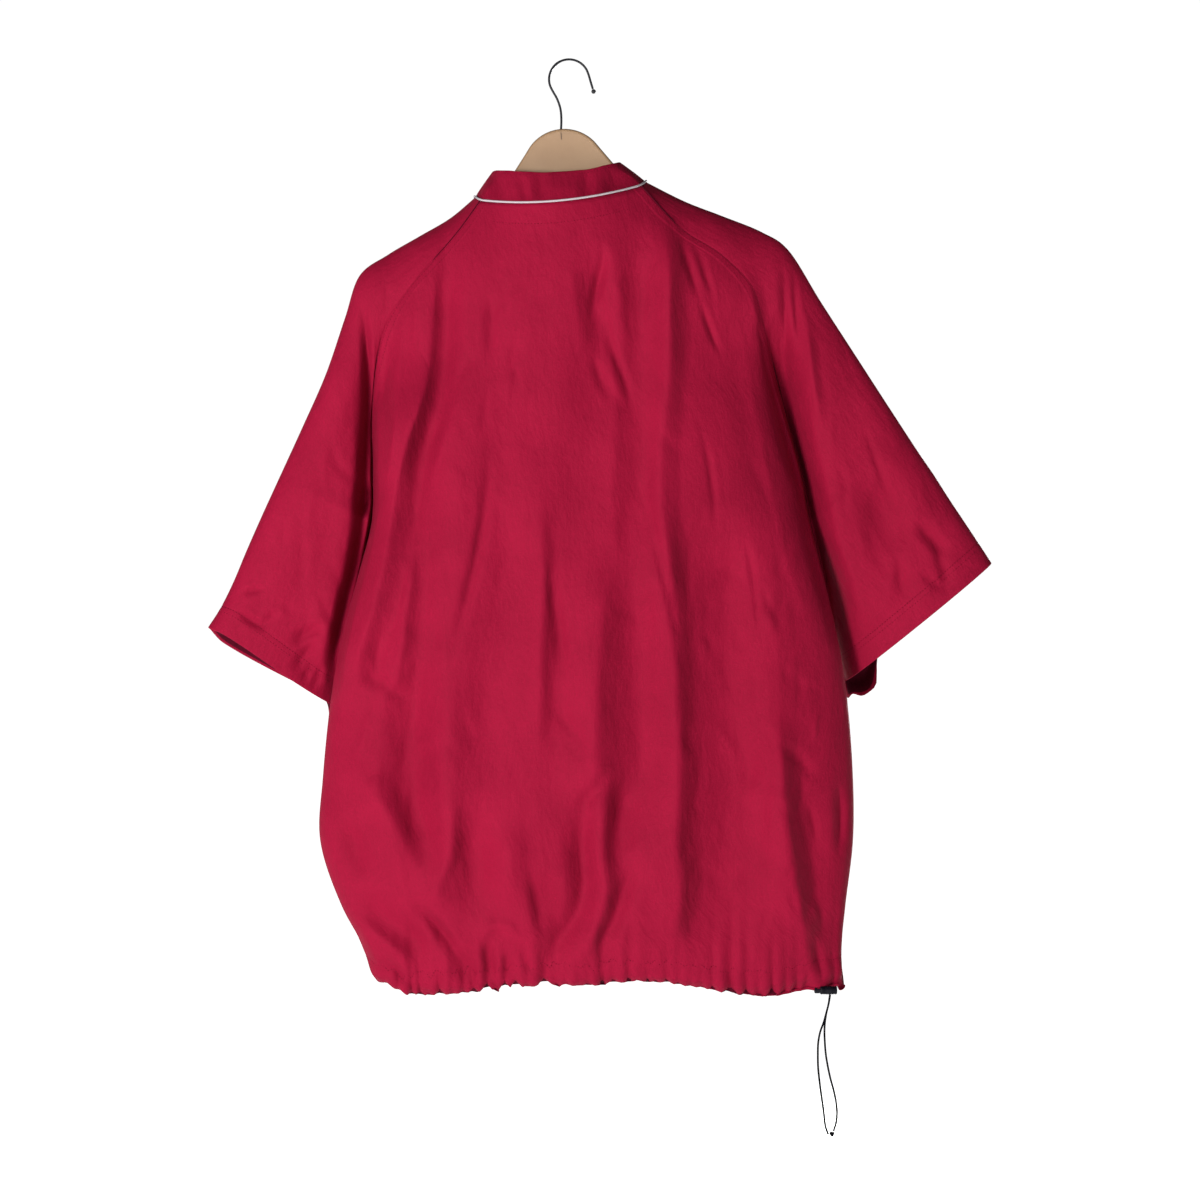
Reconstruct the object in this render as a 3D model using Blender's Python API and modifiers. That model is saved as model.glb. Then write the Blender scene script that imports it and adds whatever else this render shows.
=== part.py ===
"""Short-sleeved raglan pullover windshirt, hung on a flat wooden hanger.

Blender 4.5, metres, +Z up.  The origin is the inside top of the hanger's hook.
The front of the garment faces -Y, its back faces +Y, and +X is the wearer's left.
Every size below is in millimetres and is scaled once, when an object is made.
"""
import math

import bmesh
import bpy
import numpy as np

MM = 0.001

# ---------------------------------------------------------------- driving sizes
CLOTH_WALL = 1.2            # thickness of every cloth wall
SEAM_STAND_BACK = 0.22      # how far each piece stops short of a shared seam line
NECK_STAND_BACK = 0.5       # the same for the collar, which leans in over the neck seam
COLLAR_POINT_STAND_BACK = 2.0   # the collar's two ends stop short of the neck point
UNDERARM_STAND_BACK = 0.6   # the same for a sleeve where four seams meet
SMALL_GAP = 0.35            # clearance between touching hard pieces

PIPING_RADIUS = 1.15
HANGER_THICKNESS = 12.0
HANGER_EDGE_ROUNDING = 3.0
HANGER_TILT_DEGREES = 4.2   # the wearer's right shoulder hangs higher
HANGER_TOP = (6.3, -65.5)   # x, z of the top of the hanger's dome
HOOK_WIRE_RADIUS = 1.1
HOOK_LOOP_RADIUS = 19.0     # to the middle of the wire
HOOK_CAP_RADIUS = 2.2

CORD_RADIUS = 0.95
LOCK_LENGTH = 16.0
LOCK_RADIUS = 3.9
LOCK_BUTTON_LENGTH = 5.0
LOCK_BUTTON_RADIUS = 2.9
LOCK_CENTRE = (-245.2, 27.5, -879.4)
KNOT_RADIUS = 2.6

BODY_COLUMNS = 34           # quads across the back panel
FRONT_COLUMNS = 30          # quads across the front panel
SLEEVE_HALF_COLUMNS = 11    # quads from the ridge of a sleeve to its seam
COLLAR_ROWS = 2


def table(columns, *rows):
    """A short table as a dictionary of its named columns."""
    values = np.array(rows, dtype=float)
    return {name: values[:, i] for i, name in enumerate(columns.split())}


# Side and raglan seams of the body from the hem (row 0) over the underarm
# (row 8) to the neck (row 16).  left_ and right_ give both ends of a row.
# side_y is the depth of the seam at the back, front_y the same at the front,
# front_in and front_drop move the front seam to the middle and down.
# back and front are the depths at the middle of the row, square is the
# exponent of its rounding and open is 0 where a row is half of a closed ring
# and 1 where it ends in an open, nearly flat seam.
UNDERARM_ROW = 8
NECK_ROW = 16
BODY = table(
    "row left_x left_z right_x right_z side_y front_y front_in front_drop back front square open sag",
    (0, 176, -875, -262, -873, 4, 4, 0, 0, 58, -54, 2.4, 0.0, 0),
    (1, 190, -845, -259, -845, 5, 5, 0, 0, 66, -60, 2.4, 0.0, 0),
    (2, 215, -800, -263, -800, 6, 6, 0, 0, 73, -65, 2.4, 0.0, 0),
    (3, 234.5, -740, -270, -740, 6, 6, 0, 0, 77, -68, 2.4, 0.0, 0),
    (4, 232, -680, -270, -680, 6, 6, 0, 0, 76, -68, 2.4, 0.0, 0),
    (5, 225, -610, -265, -610, 5, 5, 0, 0, 73, -66, 2.5, 0.0, 0),
    (6, 215, -550, -256, -550, 1, 1, 0, 0, 70, -64, 2.6, 0.0, 0),
    (7, 200, -490, -243, -490, -12, -12, 0, 0, 67, -62, 2.8, 0.0, 0),
    (8, 188, -437, -231, -437, -30, -30, 0, 0, 64, -60, 3.0, 0.0, 0),
    (9, 187, -385, -222, -388, -26, -36, 2, 0, 61, -58, 3.0, 0.1, 0),
    (10, 187, -335, -208, -335, -14, -38, 4, -2, 59, -57, 2.9, 0.35, 0),
    (11, 181, -285, -194, -285, 6, -38, 6, -4, 57, -57, 2.6, 0.7, -1),
    (12, 170, -250, -184, -250, 20, -36, 8, -5, 57, -58, 2.3, 1.0, -3),
    (13, 153, -224, -172, -216, 26, -33, 8, -6, 57, -59, 2.1, 1.0, -4),
    (14, 129, -196, -143, -187, 28, -31, 7, -8, 56, -60, 2.0, 1.0, -6),
    (15, 103, -166, -106, -163, 28, -30, 5, -10, 54, -61, 2.0, 1.0, -8),
    (16, 82, -137, -69, -123, 26, -28, 3, -12, 52, -62, 2.0, 1.0, -11),
)
NECK_POINT_Z = -300.0       # lowest point of the head opening, centre front

# Bottom edge of the back, left to right.
HEM_EDGE = table(
    "x z",
    (176, -875), (150, -881), (114, -881), (62, -877), (16, -873), (-12, -873),
    (-68, -869), (-123, -875), (-179, -883), (-221, -879), (-262, -873),
)
HEM_EDGE_REACH = 1.5        # rows over which that edge line fades out
FRONT_HEM_DIP = 4.0         # the front's bottom edge hangs this much lower at its middle

# One sleeve: ridge_ is the line from the neck along the hanger, over its tip
# and down to the top of the cuff.  Down to station 8, the underarm, the sleeve
# ends in the raglan seams; past it, in the under-sleeve line inner_.
# back and front are how far each layer rounds out from the straight.
SLEEVE_COLUMNS = "station ridge_x ridge_z inner_x inner_y inner_z back front"
UNDERARM_STATION = 8
SLEEVE_LEFT = table(
    SLEEVE_COLUMNS,
    (0, 88, -130, 0, 0, 0, 4, 4),
    (1, 112, -150, 0, 0, 0, 7, 7),
    (2, 141, -167, 0, 0, 0, 9, 9),
    (3, 171, -184.5, 0, 0, 0, 10, 11),
    (4, 198, -204.5, 0, 0, 0, 12, 12),
    (5, 212, -245, 0, 0, 0, 13, 12),
    (6, 230, -298, 0, 0, 0, 22, 18),
    (7, 252, -348, 0, 0, 0, 30, 24),
    (8, 274, -396, 188, -30, -437, 36, 28),
    (9, 290, -431, 196, -38, -475, 38, 30),
    (10, 305, -465, 204, -42, -513, 38, 31),
    (11, 318, -496, 211, -44, -550, 38, 32),
    (12, 330, -520, 217, -45, -582, 37, 33),
    (13, 341.5, -538, 223, -45, -614, 36, 34),
)
SLEEVE_RIGHT = table(
    SLEEVE_COLUMNS,
    (0, -74, -115.5, 0, 0, 0, 4, 4),
    (1, -111, -134, 0, 0, 0, 7, 7),
    (2, -147, -148, 0, 0, 0, 9, 9),
    (3, -184, -163, 0, 0, 0, 10, 11),
    (4, -210, -181, 0, 0, 0, 12, 12),
    (5, -240, -229, 0, 0, 0, 14, 12),
    (6, -271, -277, 0, 0, 0, 24, 18),
    (7, -302, -325, 0, 0, 0, 33, 25),
    (8, -332, -371, -231, -30, -437, 39, 30),
    (9, -347, -393, -239, -38, -468, 41, 32),
    (10, -361, -415, -246, -42, -499, 42, 33),
    (11, -375, -436, -253, -44, -530, 42, 34),
    (12, -389, -457, -260, -45, -560, 42, 35),
    (13, -402, -477, -267, -45, -589, 42, 36),
)
# Where the front layer of a cuff hangs lower, near the body; place is its around value.
CUFF_SAG = {
    "left": {"depth": 18.0, "place": -0.87, "reach": 0.09},
    "right": {"depth": 36.0, "place": -0.77, "reach": 0.08},
}

# Where the back layer of a cuff is drawn up, so that the front layer shows below it.
CUFF_LIFT = {
    "left": {"height": 4.5, "place": 0.24, "reach": 0.28},
    "right": {"height": 0.0, "place": 0.24, "reach": 0.28},
}

# Top edge of the stand collar.  turn runs round the neck: 0 and 6 are the
# centre front, 1 and 5 the front raglan seams, 1.5 and 4.5 the shoulders,
# 2 and 4 the back raglan seams and 3 the centre back.
COLLAR_TOP = table(
    "turn x y z",
    (0.0, 5.4, -54, -218),
    (0.5, 31, -44, -170),
    (1.0, 66, -24, -117),
    (1.5, 72, -3, -106),
    (2.0, 62, 21, -108),
    (2.5, 41, 33, -111),
    (3.0, 10, 36, -111.5),
    (3.5, -22, 32, -108),
    (4.0, -43, 20, -101),
    (4.5, -51, -3, -97.5),
    (5.0, -50, -24, -107),
    (5.5, -21, -44, -166),
    (6.0, 4.6, -54, -218),
)

# The largest folds.  Each runs through three points of the cloth; depth is
# negative for a trough and positive for a ridge.
FOLD_COLUMNS = "x0 z0 x1 z1 x2 z2 width depth"
BACK_FOLDS = table(
    FOLD_COLUMNS,
    (109, -205, 118, -300, 142, -400, 16, -13),
    (142, -410, 130, -540, 114, -640, 20, -11),
    (96, -240, 92, -420, 80, -640, 26, 6),
    (-34, -170, -28, -250, -22, -300, 16, -8),
    (-108, -250, -104, -400, -114, -520, 20, -11),
    (-84, -420, -104, -560, -106, -690, 18, 9),
    (-116, -520, -128, -680, -130, -830, 22, -12),
    (-32, -670, -4, -710, -6, -850, 16, -12),
    (-72, -740, -52, -800, -36, -855, 15, -12),
    (-30, -770, -32, -820, -20, -850, 12, 7),
    (205, -775, 160, -825, 125, -860, 18, -11),
    (-224, -660, -228, -740, -238, -830, 18, -11),
    (60, -720, 78, -800, 72, -855, 20, -9),
)
FRONT_FOLDS = table(
    FOLD_COLUMNS,
    (120, -260, 132, -360, 140, -470, 20, -11),
    (-140, -260, -152, -360, -160, -480, 20, -11),
    (60, -330, 70, -480, 62, -650, 24, -9),
    (-52, -340, -66, -500, -60, -690, 24, -10),
    (5, -420, 0, -600, -8, -780, 30, 7),
    (150, -640, 130, -760, 118, -855, 20, -11),
    (-170, -640, -150, -760, -128, -855, 22, -11),
    (40, -700, 30, -800, 42, -860, 16, -9),
)


# ---------------------------------------------------------------- mathematics
def smooth(keys, values, at):
    """Read a table column between its rows along one smooth curve."""
    at = np.asarray(at, dtype=float)
    slopes = np.gradient(values, keys)
    i = np.clip(np.searchsorted(keys, at, side="right") - 1, 0, len(keys) - 2)
    step = keys[i + 1] - keys[i]
    u = np.clip((at - keys[i]) / step, 0.0, 1.0)
    start = (1 + 2 * u) * (1 - u) ** 2 * values[i] + u * (1 - u) ** 2 * step * slopes[i]
    end = u * u * (3 - 2 * u) * values[i + 1] + u * u * (u - 1) * step * slopes[i + 1]
    return start + end


def ease(u):
    """Ramp from 0 to 1 with flat ends."""
    u = np.clip(u, 0.0, 1.0)
    return u * u * (3 - 2 * u)


def body_value(name, row):
    return smooth(BODY["row"], BODY[name], row)


def fold_field(folds, x, z):
    """Sum of all folds at the points x, z: soft strokes that fade at their ends."""
    total = np.zeros_like(x)
    u = np.linspace(0.0, 1.0, 13)
    shares = [(1 - u) ** 2, 2 * u * (1 - u), u * u]
    for i in range(len(folds["x0"])):
        bend_x = 2 * folds["x1"][i] - (folds["x0"][i] + folds["x2"][i]) / 2
        bend_z = 2 * folds["z1"][i] - (folds["z0"][i] + folds["z2"][i]) / 2
        line_x = shares[0] * folds["x0"][i] + shares[1] * bend_x + shares[2] * folds["x2"][i]
        line_z = shares[0] * folds["z0"][i] + shares[1] * bend_z + shares[2] * folds["z2"][i]
        strength = np.zeros_like(x)
        for k in range(len(u) - 1):
            step_x = line_x[k + 1] - line_x[k]
            step_z = line_z[k + 1] - line_z[k]
            ahead = (x - line_x[k]) * step_x + (z - line_z[k]) * step_z
            t = np.clip(ahead / (step_x ** 2 + step_z ** 2), 0.0, 1.0)
            away = (x - line_x[k] - t * step_x) ** 2 + (z - line_z[k] - t * step_z) ** 2
            at = u[k] + t * (u[k + 1] - u[k])
            fade = ease(4 * at) * ease(4 * (1 - at))
            strength = np.maximum(strength, fade * np.exp(-away / folds["width"][i] ** 2))
        total = total + folds["depth"][i] * strength
    return total


# ---------------------------------------------------------------- garment form
def raglan_point(side, layer, row):
    """Point of a side seam (rows 0 to 8) or raglan seam (rows 8 to 16)."""
    x = body_value(side + "_x", row)
    y = body_value("side_y", row)
    z = body_value(side + "_z", row)
    if layer == "front":
        raglan = row > UNDERARM_ROW
        x = x - np.sign(x) * body_value("front_in", row) * raglan
        y = np.where(raglan, body_value("front_y", row), y)
        z = z + body_value("front_drop", row) * raglan
    return np.stack([x, y, z], axis=-1)


def panel_points(layer, rows, across):
    """Points of the back or front panel; across runs from 0, left, to 1, right."""
    row, s = np.meshgrid(rows, across, indexing="ij")
    left = raglan_point("left", layer, row)
    right = raglan_point("right", layer, row)
    opened = body_value("open", row)
    reach = (1 - opened) * np.cos(math.pi * s) + opened * (1 - 2 * s)
    square = body_value("square", row)
    closing = (1 - opened) / square + opened
    dome = np.maximum(1 - np.abs(reach) ** square, 0.0) ** closing
    share = (1 - reach) / 2
    x = left[..., 0] * (1 - share) + right[..., 0] * share
    end_y = left[..., 1] * (1 - share) + right[..., 1] * share
    middle_y = body_value(layer, row)
    y = end_y + (middle_y - end_y) * dome
    z = left[..., 2] * (1 - share) + right[..., 2] * share
    upper = np.clip((row - UNDERARM_ROW) / (NECK_ROW - UNDERARM_ROW), 0.0, 1.0)
    lower = ease(1 - row / HEM_EDGE_REACH)
    if layer == "back":
        z = z + body_value("sag", row) * (1 - reach ** 2)
        edge = smooth(-HEM_EDGE["x"], HEM_EDGE["z"], -x)
        z = z + (edge - z) * lower
        folds = fold_field(BACK_FOLDS, x, z)
    else:
        chord = (left[..., 2] + right[..., 2]) / 2
        underarm_z = (body_value("left_z", UNDERARM_ROW) + body_value("right_z", UNDERARM_ROW)) / 2
        centre_z = underarm_z + (NECK_POINT_Z - underarm_z) * upper
        opening = 1 - (0.75 * upper + 0.25) * np.abs(reach) - (0.75 - 0.75 * upper) * reach ** 2
        z = z + (centre_z - chord) * np.where(row > UNDERARM_ROW, opening, 0.0)
        z = z - FRONT_HEM_DIP * (1 - reach ** 2) * lower
        folds = -fold_field(FRONT_FOLDS, x, z)
    free = np.maximum(ease((1 - np.abs(reach)) / 0.1), opened)
    return np.stack([x, y + folds * free, z], axis=-1)


def sleeve_points(side, stations, around):
    """Points of a sleeve; around runs from -1, front seam, over 0, ridge, to 1, back seam."""
    form = SLEEVE_LEFT if side == "left" else SLEEVE_RIGHT
    station, q = np.meshgrid(stations, around, indexing="ij")

    def value(name):
        return smooth(form["station"], form[name], station)

    ridge = np.stack([value("ridge_x"), np.zeros_like(q), value("ridge_z")], axis=-1)
    row = np.clip(NECK_ROW - station, UNDERARM_ROW, NECK_ROW)
    seam_back = raglan_point(side, "back", row)
    seam_front = raglan_point(side, "front", row)
    tube = form["station"] >= UNDERARM_STATION
    low = np.maximum(station, UNDERARM_STATION)
    inner = np.stack(
        [smooth(form["station"][tube], form[name][tube], low)
         for name in ("inner_x", "inner_y", "inner_z")], axis=-1)
    past = (station > UNDERARM_STATION)[..., None]
    backward = (q >= 0)[..., None]
    end = np.where(past, inner, np.where(backward, seam_back, seam_front))
    share = (1 - np.cos(math.pi * np.abs(q))) / 2
    opened = np.where(past[..., 0], 0.0, body_value("open", row))
    closing = 0.5 + 0.5 * opened
    peak = 0.5 / (0.5 + closing)
    top = peak ** 0.5 * (1 - peak) ** closing
    dome = share ** 0.5 * np.maximum(1 - share, 0.0) ** closing / top
    bulge = np.where(q >= 0, value("back"), -value("front"))
    points = ridge + (end - ridge) * share[..., None]
    points[..., 1] += bulge * dome
    to_cuff = ease((station - UNDERARM_STATION) / (form["station"][-1] - UNDERARM_STATION))
    sag = CUFF_SAG[side]
    hanging = np.exp(-((q - sag["place"]) / sag["reach"]) ** 2)
    points[..., 2] -= sag["depth"] * hanging * to_cuff ** 2
    lift = CUFF_LIFT[side]
    drawn_up = np.exp(-((q - lift["place"]) / lift["reach"]) ** 2) * (q > 0) * ease(4 * q)
    points[..., 2] += lift["height"] * drawn_up * to_cuff ** 2
    field = np.where(
        q >= 0,
        fold_field(BACK_FOLDS, points[..., 0], points[..., 2]),
        -fold_field(FRONT_FOLDS, points[..., 0], points[..., 2]))
    free = ease(np.abs(q) / 0.3) * np.maximum(ease((1 - np.abs(q)) / 0.2), opened)
    points[..., 1] += field * free
    return points


def body_rows():
    """Rows of both panels: finer at the hem, one per row above the underarm."""
    lower = [0.0, 0.45, 1.0, 1.6, 2.2, 2.8, 3.4, 4.0, 4.6, 5.2, 5.8, 6.4, 7.0, 7.5]
    return np.array(lower + list(np.linspace(UNDERARM_ROW, NECK_ROW, 9)))


def sleeve_stations():
    return np.array([0, 1, 2, 3, 4, 5, 6, 7, 8, 9, 10, 11, 12.2, 13], dtype=float)


def neck_loop():
    """The neck seam as points and turns, from the centre front round to it again."""
    top = np.array([float(NECK_ROW)])
    front = panel_points("front", top, np.linspace(0, 1, FRONT_COLUMNS + 1))[0]
    back = panel_points("back", top, np.linspace(0, 1, BODY_COLUMNS + 1))[0]
    around = np.linspace(-1, 1, 2 * SLEEVE_HALF_COLUMNS + 1)
    left = sleeve_points("left", np.array([0.0]), around)[0]
    right = sleeve_points("right", np.array([0.0]), around)[0]
    half = FRONT_COLUMNS // 2
    pieces = [
        (front[half::-1], np.linspace(0, 1, half + 1)),
        (left[1:], 1 + (around[1:] + 1) / 2),
        (back[1:], 2 + 2 * np.linspace(0, 1, BODY_COLUMNS + 1)[1:]),
        (right[-2::-1], 4 + (1 - around[-2::-1]) / 2),
        (front[-2:half - 1:-1], 5 + np.linspace(0, 1, half + 1)[1:]),
    ]
    points = np.concatenate([piece[0] for piece in pieces])
    turns = np.concatenate([piece[1] for piece in pieces])
    return points, turns


def collar_points(heights):
    """Collar band over the neck seam: one line of points for each height from 0 to 1."""
    seam, turns = neck_loop()
    top = np.stack([smooth(COLLAR_TOP["turn"], COLLAR_TOP[a], turns) for a in "xyz"], axis=-1)
    centre = np.array([6.0, -6.0, 0.0])
    lines = []
    for height in heights:
        line = seam + (top - seam) * height
        outward = line - centre
        outward[:, 2] = 0.0
        outward /= np.linalg.norm(outward, axis=1)[:, None]
        lines.append(line + outward * 3.0 * height * (1 - height))
    return np.array(lines)


# ---------------------------------------------------------------- object making
def start_clean():
    for old in list(bpy.data.objects):
        bpy.data.objects.remove(old, do_unlink=True)


def make_collection(name):
    group = bpy.data.collections.new(name)
    bpy.context.scene.collection.children.link(group)
    return group


def make_material(name, colour, roughness, metallic=0.0):
    material = bpy.data.materials.new(name)
    material.use_nodes = True
    shader = material.node_tree.nodes["Principled BSDF"]
    shader.inputs["Base Color"].default_value = (*colour, 1.0)
    shader.inputs["Roughness"].default_value = roughness
    shader.inputs["Metallic"].default_value = metallic
    material.diffuse_color = (*colour, 1.0)
    return material


def add_object(name, data, group, material):
    made = bpy.data.objects.new(name, data)
    data.materials.append(material)
    group.objects.link(made)
    return made


def unit(vectors):
    return vectors / np.linalg.norm(vectors, axis=-1)[..., None]


def stand_back(grid, edges, distance=SEAM_STAND_BACK):
    """Move the named edges of a grid of points in, so that two pieces never touch."""
    moved = grid.copy()
    steps = {"first_row": (0, 1, 0), "last_row": (-1, -2, 0),
             "first_column": (0, 1, 1), "last_column": (-1, -2, 1)}
    for edge in edges:
        at, inside, axis = steps[edge]
        border = grid.take(at, axis=axis)
        along = unit(np.gradient(border, axis=0))
        way = grid.take(inside, axis=axis) - border
        across = way - np.sum(way * along, axis=-1)[:, None] * along
        shift = distance * unit(across)
        if axis == 0:
            moved[at] += shift
        else:
            moved[:, at] += shift
    return moved


def grid_mesh(name, grid, closed_from=None, flip=False):
    """Quads over a grid of points.  From row closed_from on, both side columns are one."""
    mesh = bmesh.new()
    rows, columns = grid.shape[:2]
    handles = []
    for r in range(rows):
        line = [mesh.verts.new(point * MM) for point in grid[r, :-1]]
        shared = closed_from is not None and r >= closed_from
        line.append(line[0] if shared else mesh.verts.new(grid[r, -1] * MM))
        handles.append(line)
    for r in range(rows - 1):
        for c in range(columns - 1):
            corners = [handles[r][c], handles[r][c + 1], handles[r + 1][c + 1], handles[r + 1][c]]
            corners = list(dict.fromkeys(corners))
            mesh.faces.new(reversed(corners) if flip else corners)
    data = bpy.data.meshes.new(name)
    mesh.to_mesh(data)
    mesh.free()
    data.shade_smooth()
    return data


def add_wall(target):
    """Give an open surface its cloth thickness, on the inner side."""
    wall = target.modifiers.new("wall", "SOLIDIFY")
    wall.thickness = CLOTH_WALL * MM
    wall.offset = -1.0


def make_panels(group, cloth):
    rows = body_rows()
    back = panel_points("back", rows, np.linspace(0, 1, BODY_COLUMNS + 1))
    back = stand_back(back, ("last_row", "first_column", "last_column"))
    add_wall(add_object("back_panel", grid_mesh("back_panel", back), group, cloth["back"]))
    front = panel_points("front", rows, np.linspace(0, 1, FRONT_COLUMNS + 1))
    front = stand_back(front, ("last_row", "first_column", "last_column"))
    add_wall(add_object("front_panel", grid_mesh("front_panel", front, flip=True), group, cloth["front"]))


def make_sleeve(side, group, cloth):
    around = np.linspace(-1, 1, 2 * SLEEVE_HALF_COLUMNS + 1)
    stations = sleeve_stations()
    points = sleeve_points(side, stations, around)
    shift = stand_back(points, ("first_column", "last_column"))
    joined = int(np.searchsorted(stations, UNDERARM_STATION))
    points[:joined] = shift[:joined]
    way = points[joined + 1, 0] - points[joined, 0]
    points[joined, (0, -1)] += UNDERARM_STAND_BACK * way / np.linalg.norm(way)
    points = stand_back(points, ("first_row",))
    name = "sleeve_" + side
    data = grid_mesh(name, points, closed_from=joined, flip=side == "left")
    add_wall(add_object(name, data, group, cloth[side]))


def make_collar(group, cloth):
    grid = collar_points(np.linspace(0, 1, COLLAR_ROWS + 1))
    for end in (0, -1):
        grid[0, end] += COLLAR_POINT_STAND_BACK * unit(grid[1, end] - grid[0, end])
    grid = stand_back(grid, ("first_row", "first_column", "last_column"), NECK_STAND_BACK)
    add_wall(add_object("collar", grid_mesh("collar", grid), group, cloth["collar"]))


def tube(name, points, radius, group, material, resolution=2):
    """A round cord or wire through the points, with filled ends."""
    curve = bpy.data.curves.new(name, "CURVE")
    curve.dimensions = "3D"
    curve.bevel_depth = radius * MM
    curve.bevel_resolution = resolution
    curve.use_fill_caps = True
    curve.render_resolution_u = 0
    spline = curve.splines.new("POLY")
    spline.points.add(len(points) - 1)
    for slot, point in zip(spline.points, points):
        slot.co = (*(np.asarray(point) * MM), 1.0)
    return add_object(name, curve, group, material)


def smooth_line(route, count):
    """Evenly keyed points of one smooth curve through a route's own points."""
    route = np.array(route, dtype=float)
    keys = np.concatenate([[0.0], np.cumsum(np.linalg.norm(np.diff(route, axis=0), axis=1))])
    at = np.linspace(0.0, keys[-1], count)
    return np.stack([smooth(keys, route[:, a], at) for a in range(3)], axis=-1)


def make_piping(group, material):
    """The cord sits in the corner that collar and panels make at the neck seam."""
    seam, turns = neck_loop()
    up = unit(collar_points([0.3])[0] - seam)
    below = []
    for point, turn in zip(seam, turns):
        below.append(panel_below(turn) - point)
    down = unit(np.array(below))
    along = unit(np.gradient(seam, axis=0))
    over_collar = unit(np.cross(along, up))
    over_panel = unit(np.cross(down, along))
    out = unit(over_collar + over_panel)
    half_turn = np.sum(over_collar * out, axis=1)
    reach = (PIPING_RADIUS + SMALL_GAP) / np.clip(half_turn, 0.5, 1.0)
    centres = seam + out * reach[:, None]
    tube("collar_piping", centres[1:-1], PIPING_RADIUS, group, material)


def panel_below(turn):
    """A point of the panel or sleeve a little under the neck seam at that turn."""
    step = 0.25
    if turn <= 1:
        return panel_points("front", np.array([NECK_ROW - step]), np.array([0.5 - turn / 2]))[0, 0]
    if turn < 2:
        return sleeve_points("left", np.array([step]), np.array([2 * turn - 3]))[0, 0]
    if turn <= 4:
        return panel_points("back", np.array([NECK_ROW - step]), np.array([turn / 2 - 1]))[0, 0]
    if turn < 5:
        return sleeve_points("right", np.array([step]), np.array([9 - 2 * turn]))[0, 0]
    return panel_points("front", np.array([NECK_ROW - step]), np.array([3.5 - turn / 2]))[0, 0]


# ---------------------------------------------------------------- hanger
def hanger_outline():
    """Half outline of the hanger in its own frame, from the dome top to the bottom middle."""
    dome_radius = 40.0
    flank = math.radians(53)
    points = []
    for i in range(7):
        angle = flank * i / 6
        points.append((dome_radius * math.sin(angle), dome_radius * (math.cos(angle) - 1)))
    arm_slope = 0.486
    points += [(47.0, -36.5), (54.0, -46.0), (64.0, -55.0)]
    points += [(x, -80.0 - arm_slope * (x - 107)) for x in (107.0, 150.0, 184.0)]
    tip_x, tip_z, tip_radius = 183.6, -128.6, 10.0
    for degrees in (40, 0, -40, -80, -115):
        angle = math.radians(degrees)
        points.append((tip_x + tip_radius * math.cos(angle), tip_z + tip_radius * math.sin(angle)))
    points += [(150.0, -122.0), (90.0, -104.0), (45.0, -94.0), (0.0, -91.0)]
    return points


def make_hanger(group, wood):
    half = hanger_outline()
    outline = half + [(-x, z) for x, z in reversed(half[1:-1])]
    curve = bpy.data.curves.new("hanger_body", "CURVE")
    curve.dimensions = "2D"
    curve.fill_mode = "BOTH"
    curve.extrude = (HANGER_THICKNESS / 2 - HANGER_EDGE_ROUNDING) * MM
    curve.bevel_depth = HANGER_EDGE_ROUNDING * MM
    curve.bevel_resolution = 2
    curve.offset = -HANGER_EDGE_ROUNDING * MM
    curve.render_resolution_u = 0
    spline = curve.splines.new("POLY")
    spline.points.add(len(outline) - 1)
    for slot, (x, z) in zip(spline.points, outline):
        slot.co = (x * MM, z * MM, 0.0, 1.0)
    spline.use_cyclic_u = True
    body = add_object("hanger_body", curve, group, wood)
    tilt = math.radians(HANGER_TILT_DEGREES)
    body.rotation_euler = (math.pi / 2, tilt, 0.0)
    body.location = (HANGER_TOP[0] * MM, 0.0, HANGER_TOP[1] * MM)


def hook_route():
    """Wire from the dome up, round the loop over the origin and down to its free end."""
    middle_x, middle_z = -1.0, HOOK_WIRE_RADIUS - HOOK_LOOP_RADIUS
    route = [(6.6, 0.0, HANGER_TOP[1] + SMALL_GAP), (6.3, 0.0, -57.0), (7.4, 0.0, -45.0),
             (10.6, 0.0, -36.0)]
    for degrees in range(-32, 166, 14):
        angle = math.radians(degrees)
        route.append((middle_x + HOOK_LOOP_RADIUS * math.cos(angle), 0.0,
                      middle_z + HOOK_LOOP_RADIUS * math.sin(angle)))
    route += [(-21.6, 0.0, -20.5), (-23.6, 0.0, -27.0)]
    return route


def make_hook(group, wire, cap_material):
    line = smooth_line(hook_route(), 44)
    tube("hanger_hook", line, HOOK_WIRE_RADIUS, group, wire)
    end = unit(line[-1] - line[-2])
    bpy.ops.mesh.primitive_uv_sphere_add(segments=12, ring_count=8, radius=HOOK_CAP_RADIUS * MM)
    cap = bpy.context.active_object
    cap.name = "hook_cap"
    cap.location = (line[-1] + end * (HOOK_CAP_RADIUS + SMALL_GAP)) * MM
    adopt(cap, group, cap_material)


def adopt(made, group, material):
    """Put an object that an operator made into its collection, with its material."""
    made.data.name = made.name
    made.data.materials.clear()
    made.data.materials.append(material)
    made.data.shade_smooth()
    made.data.set_sharp_from_angle(angle=math.radians(40))
    for other in list(made.users_collection):
        other.objects.unlink(made)
    group.objects.link(made)


# ---------------------------------------------------------------- drawcord
def turned(name, profile, centre, group, material):
    """A round piece turned about the X axis from a closed profile of (x, radius)."""
    data = bpy.data.meshes.new(name)
    corners = [(0.0, radius * MM, -x * MM) for x, radius in profile]
    data.from_pydata(corners, [(i, i + 1) for i in range(len(corners) - 1)], [])
    made = add_object(name, data, group, material)
    turn = made.modifiers.new("turn", "SCREW")
    turn.axis = "Z"
    turn.steps = 16
    turn.render_steps = 16
    turn.use_merge_vertices = True
    turn.merge_threshold = 0.00001
    made.rotation_euler = (0.0, math.pi / 2, 0.0)
    made.location = np.array(centre) * MM
    return made


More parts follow.
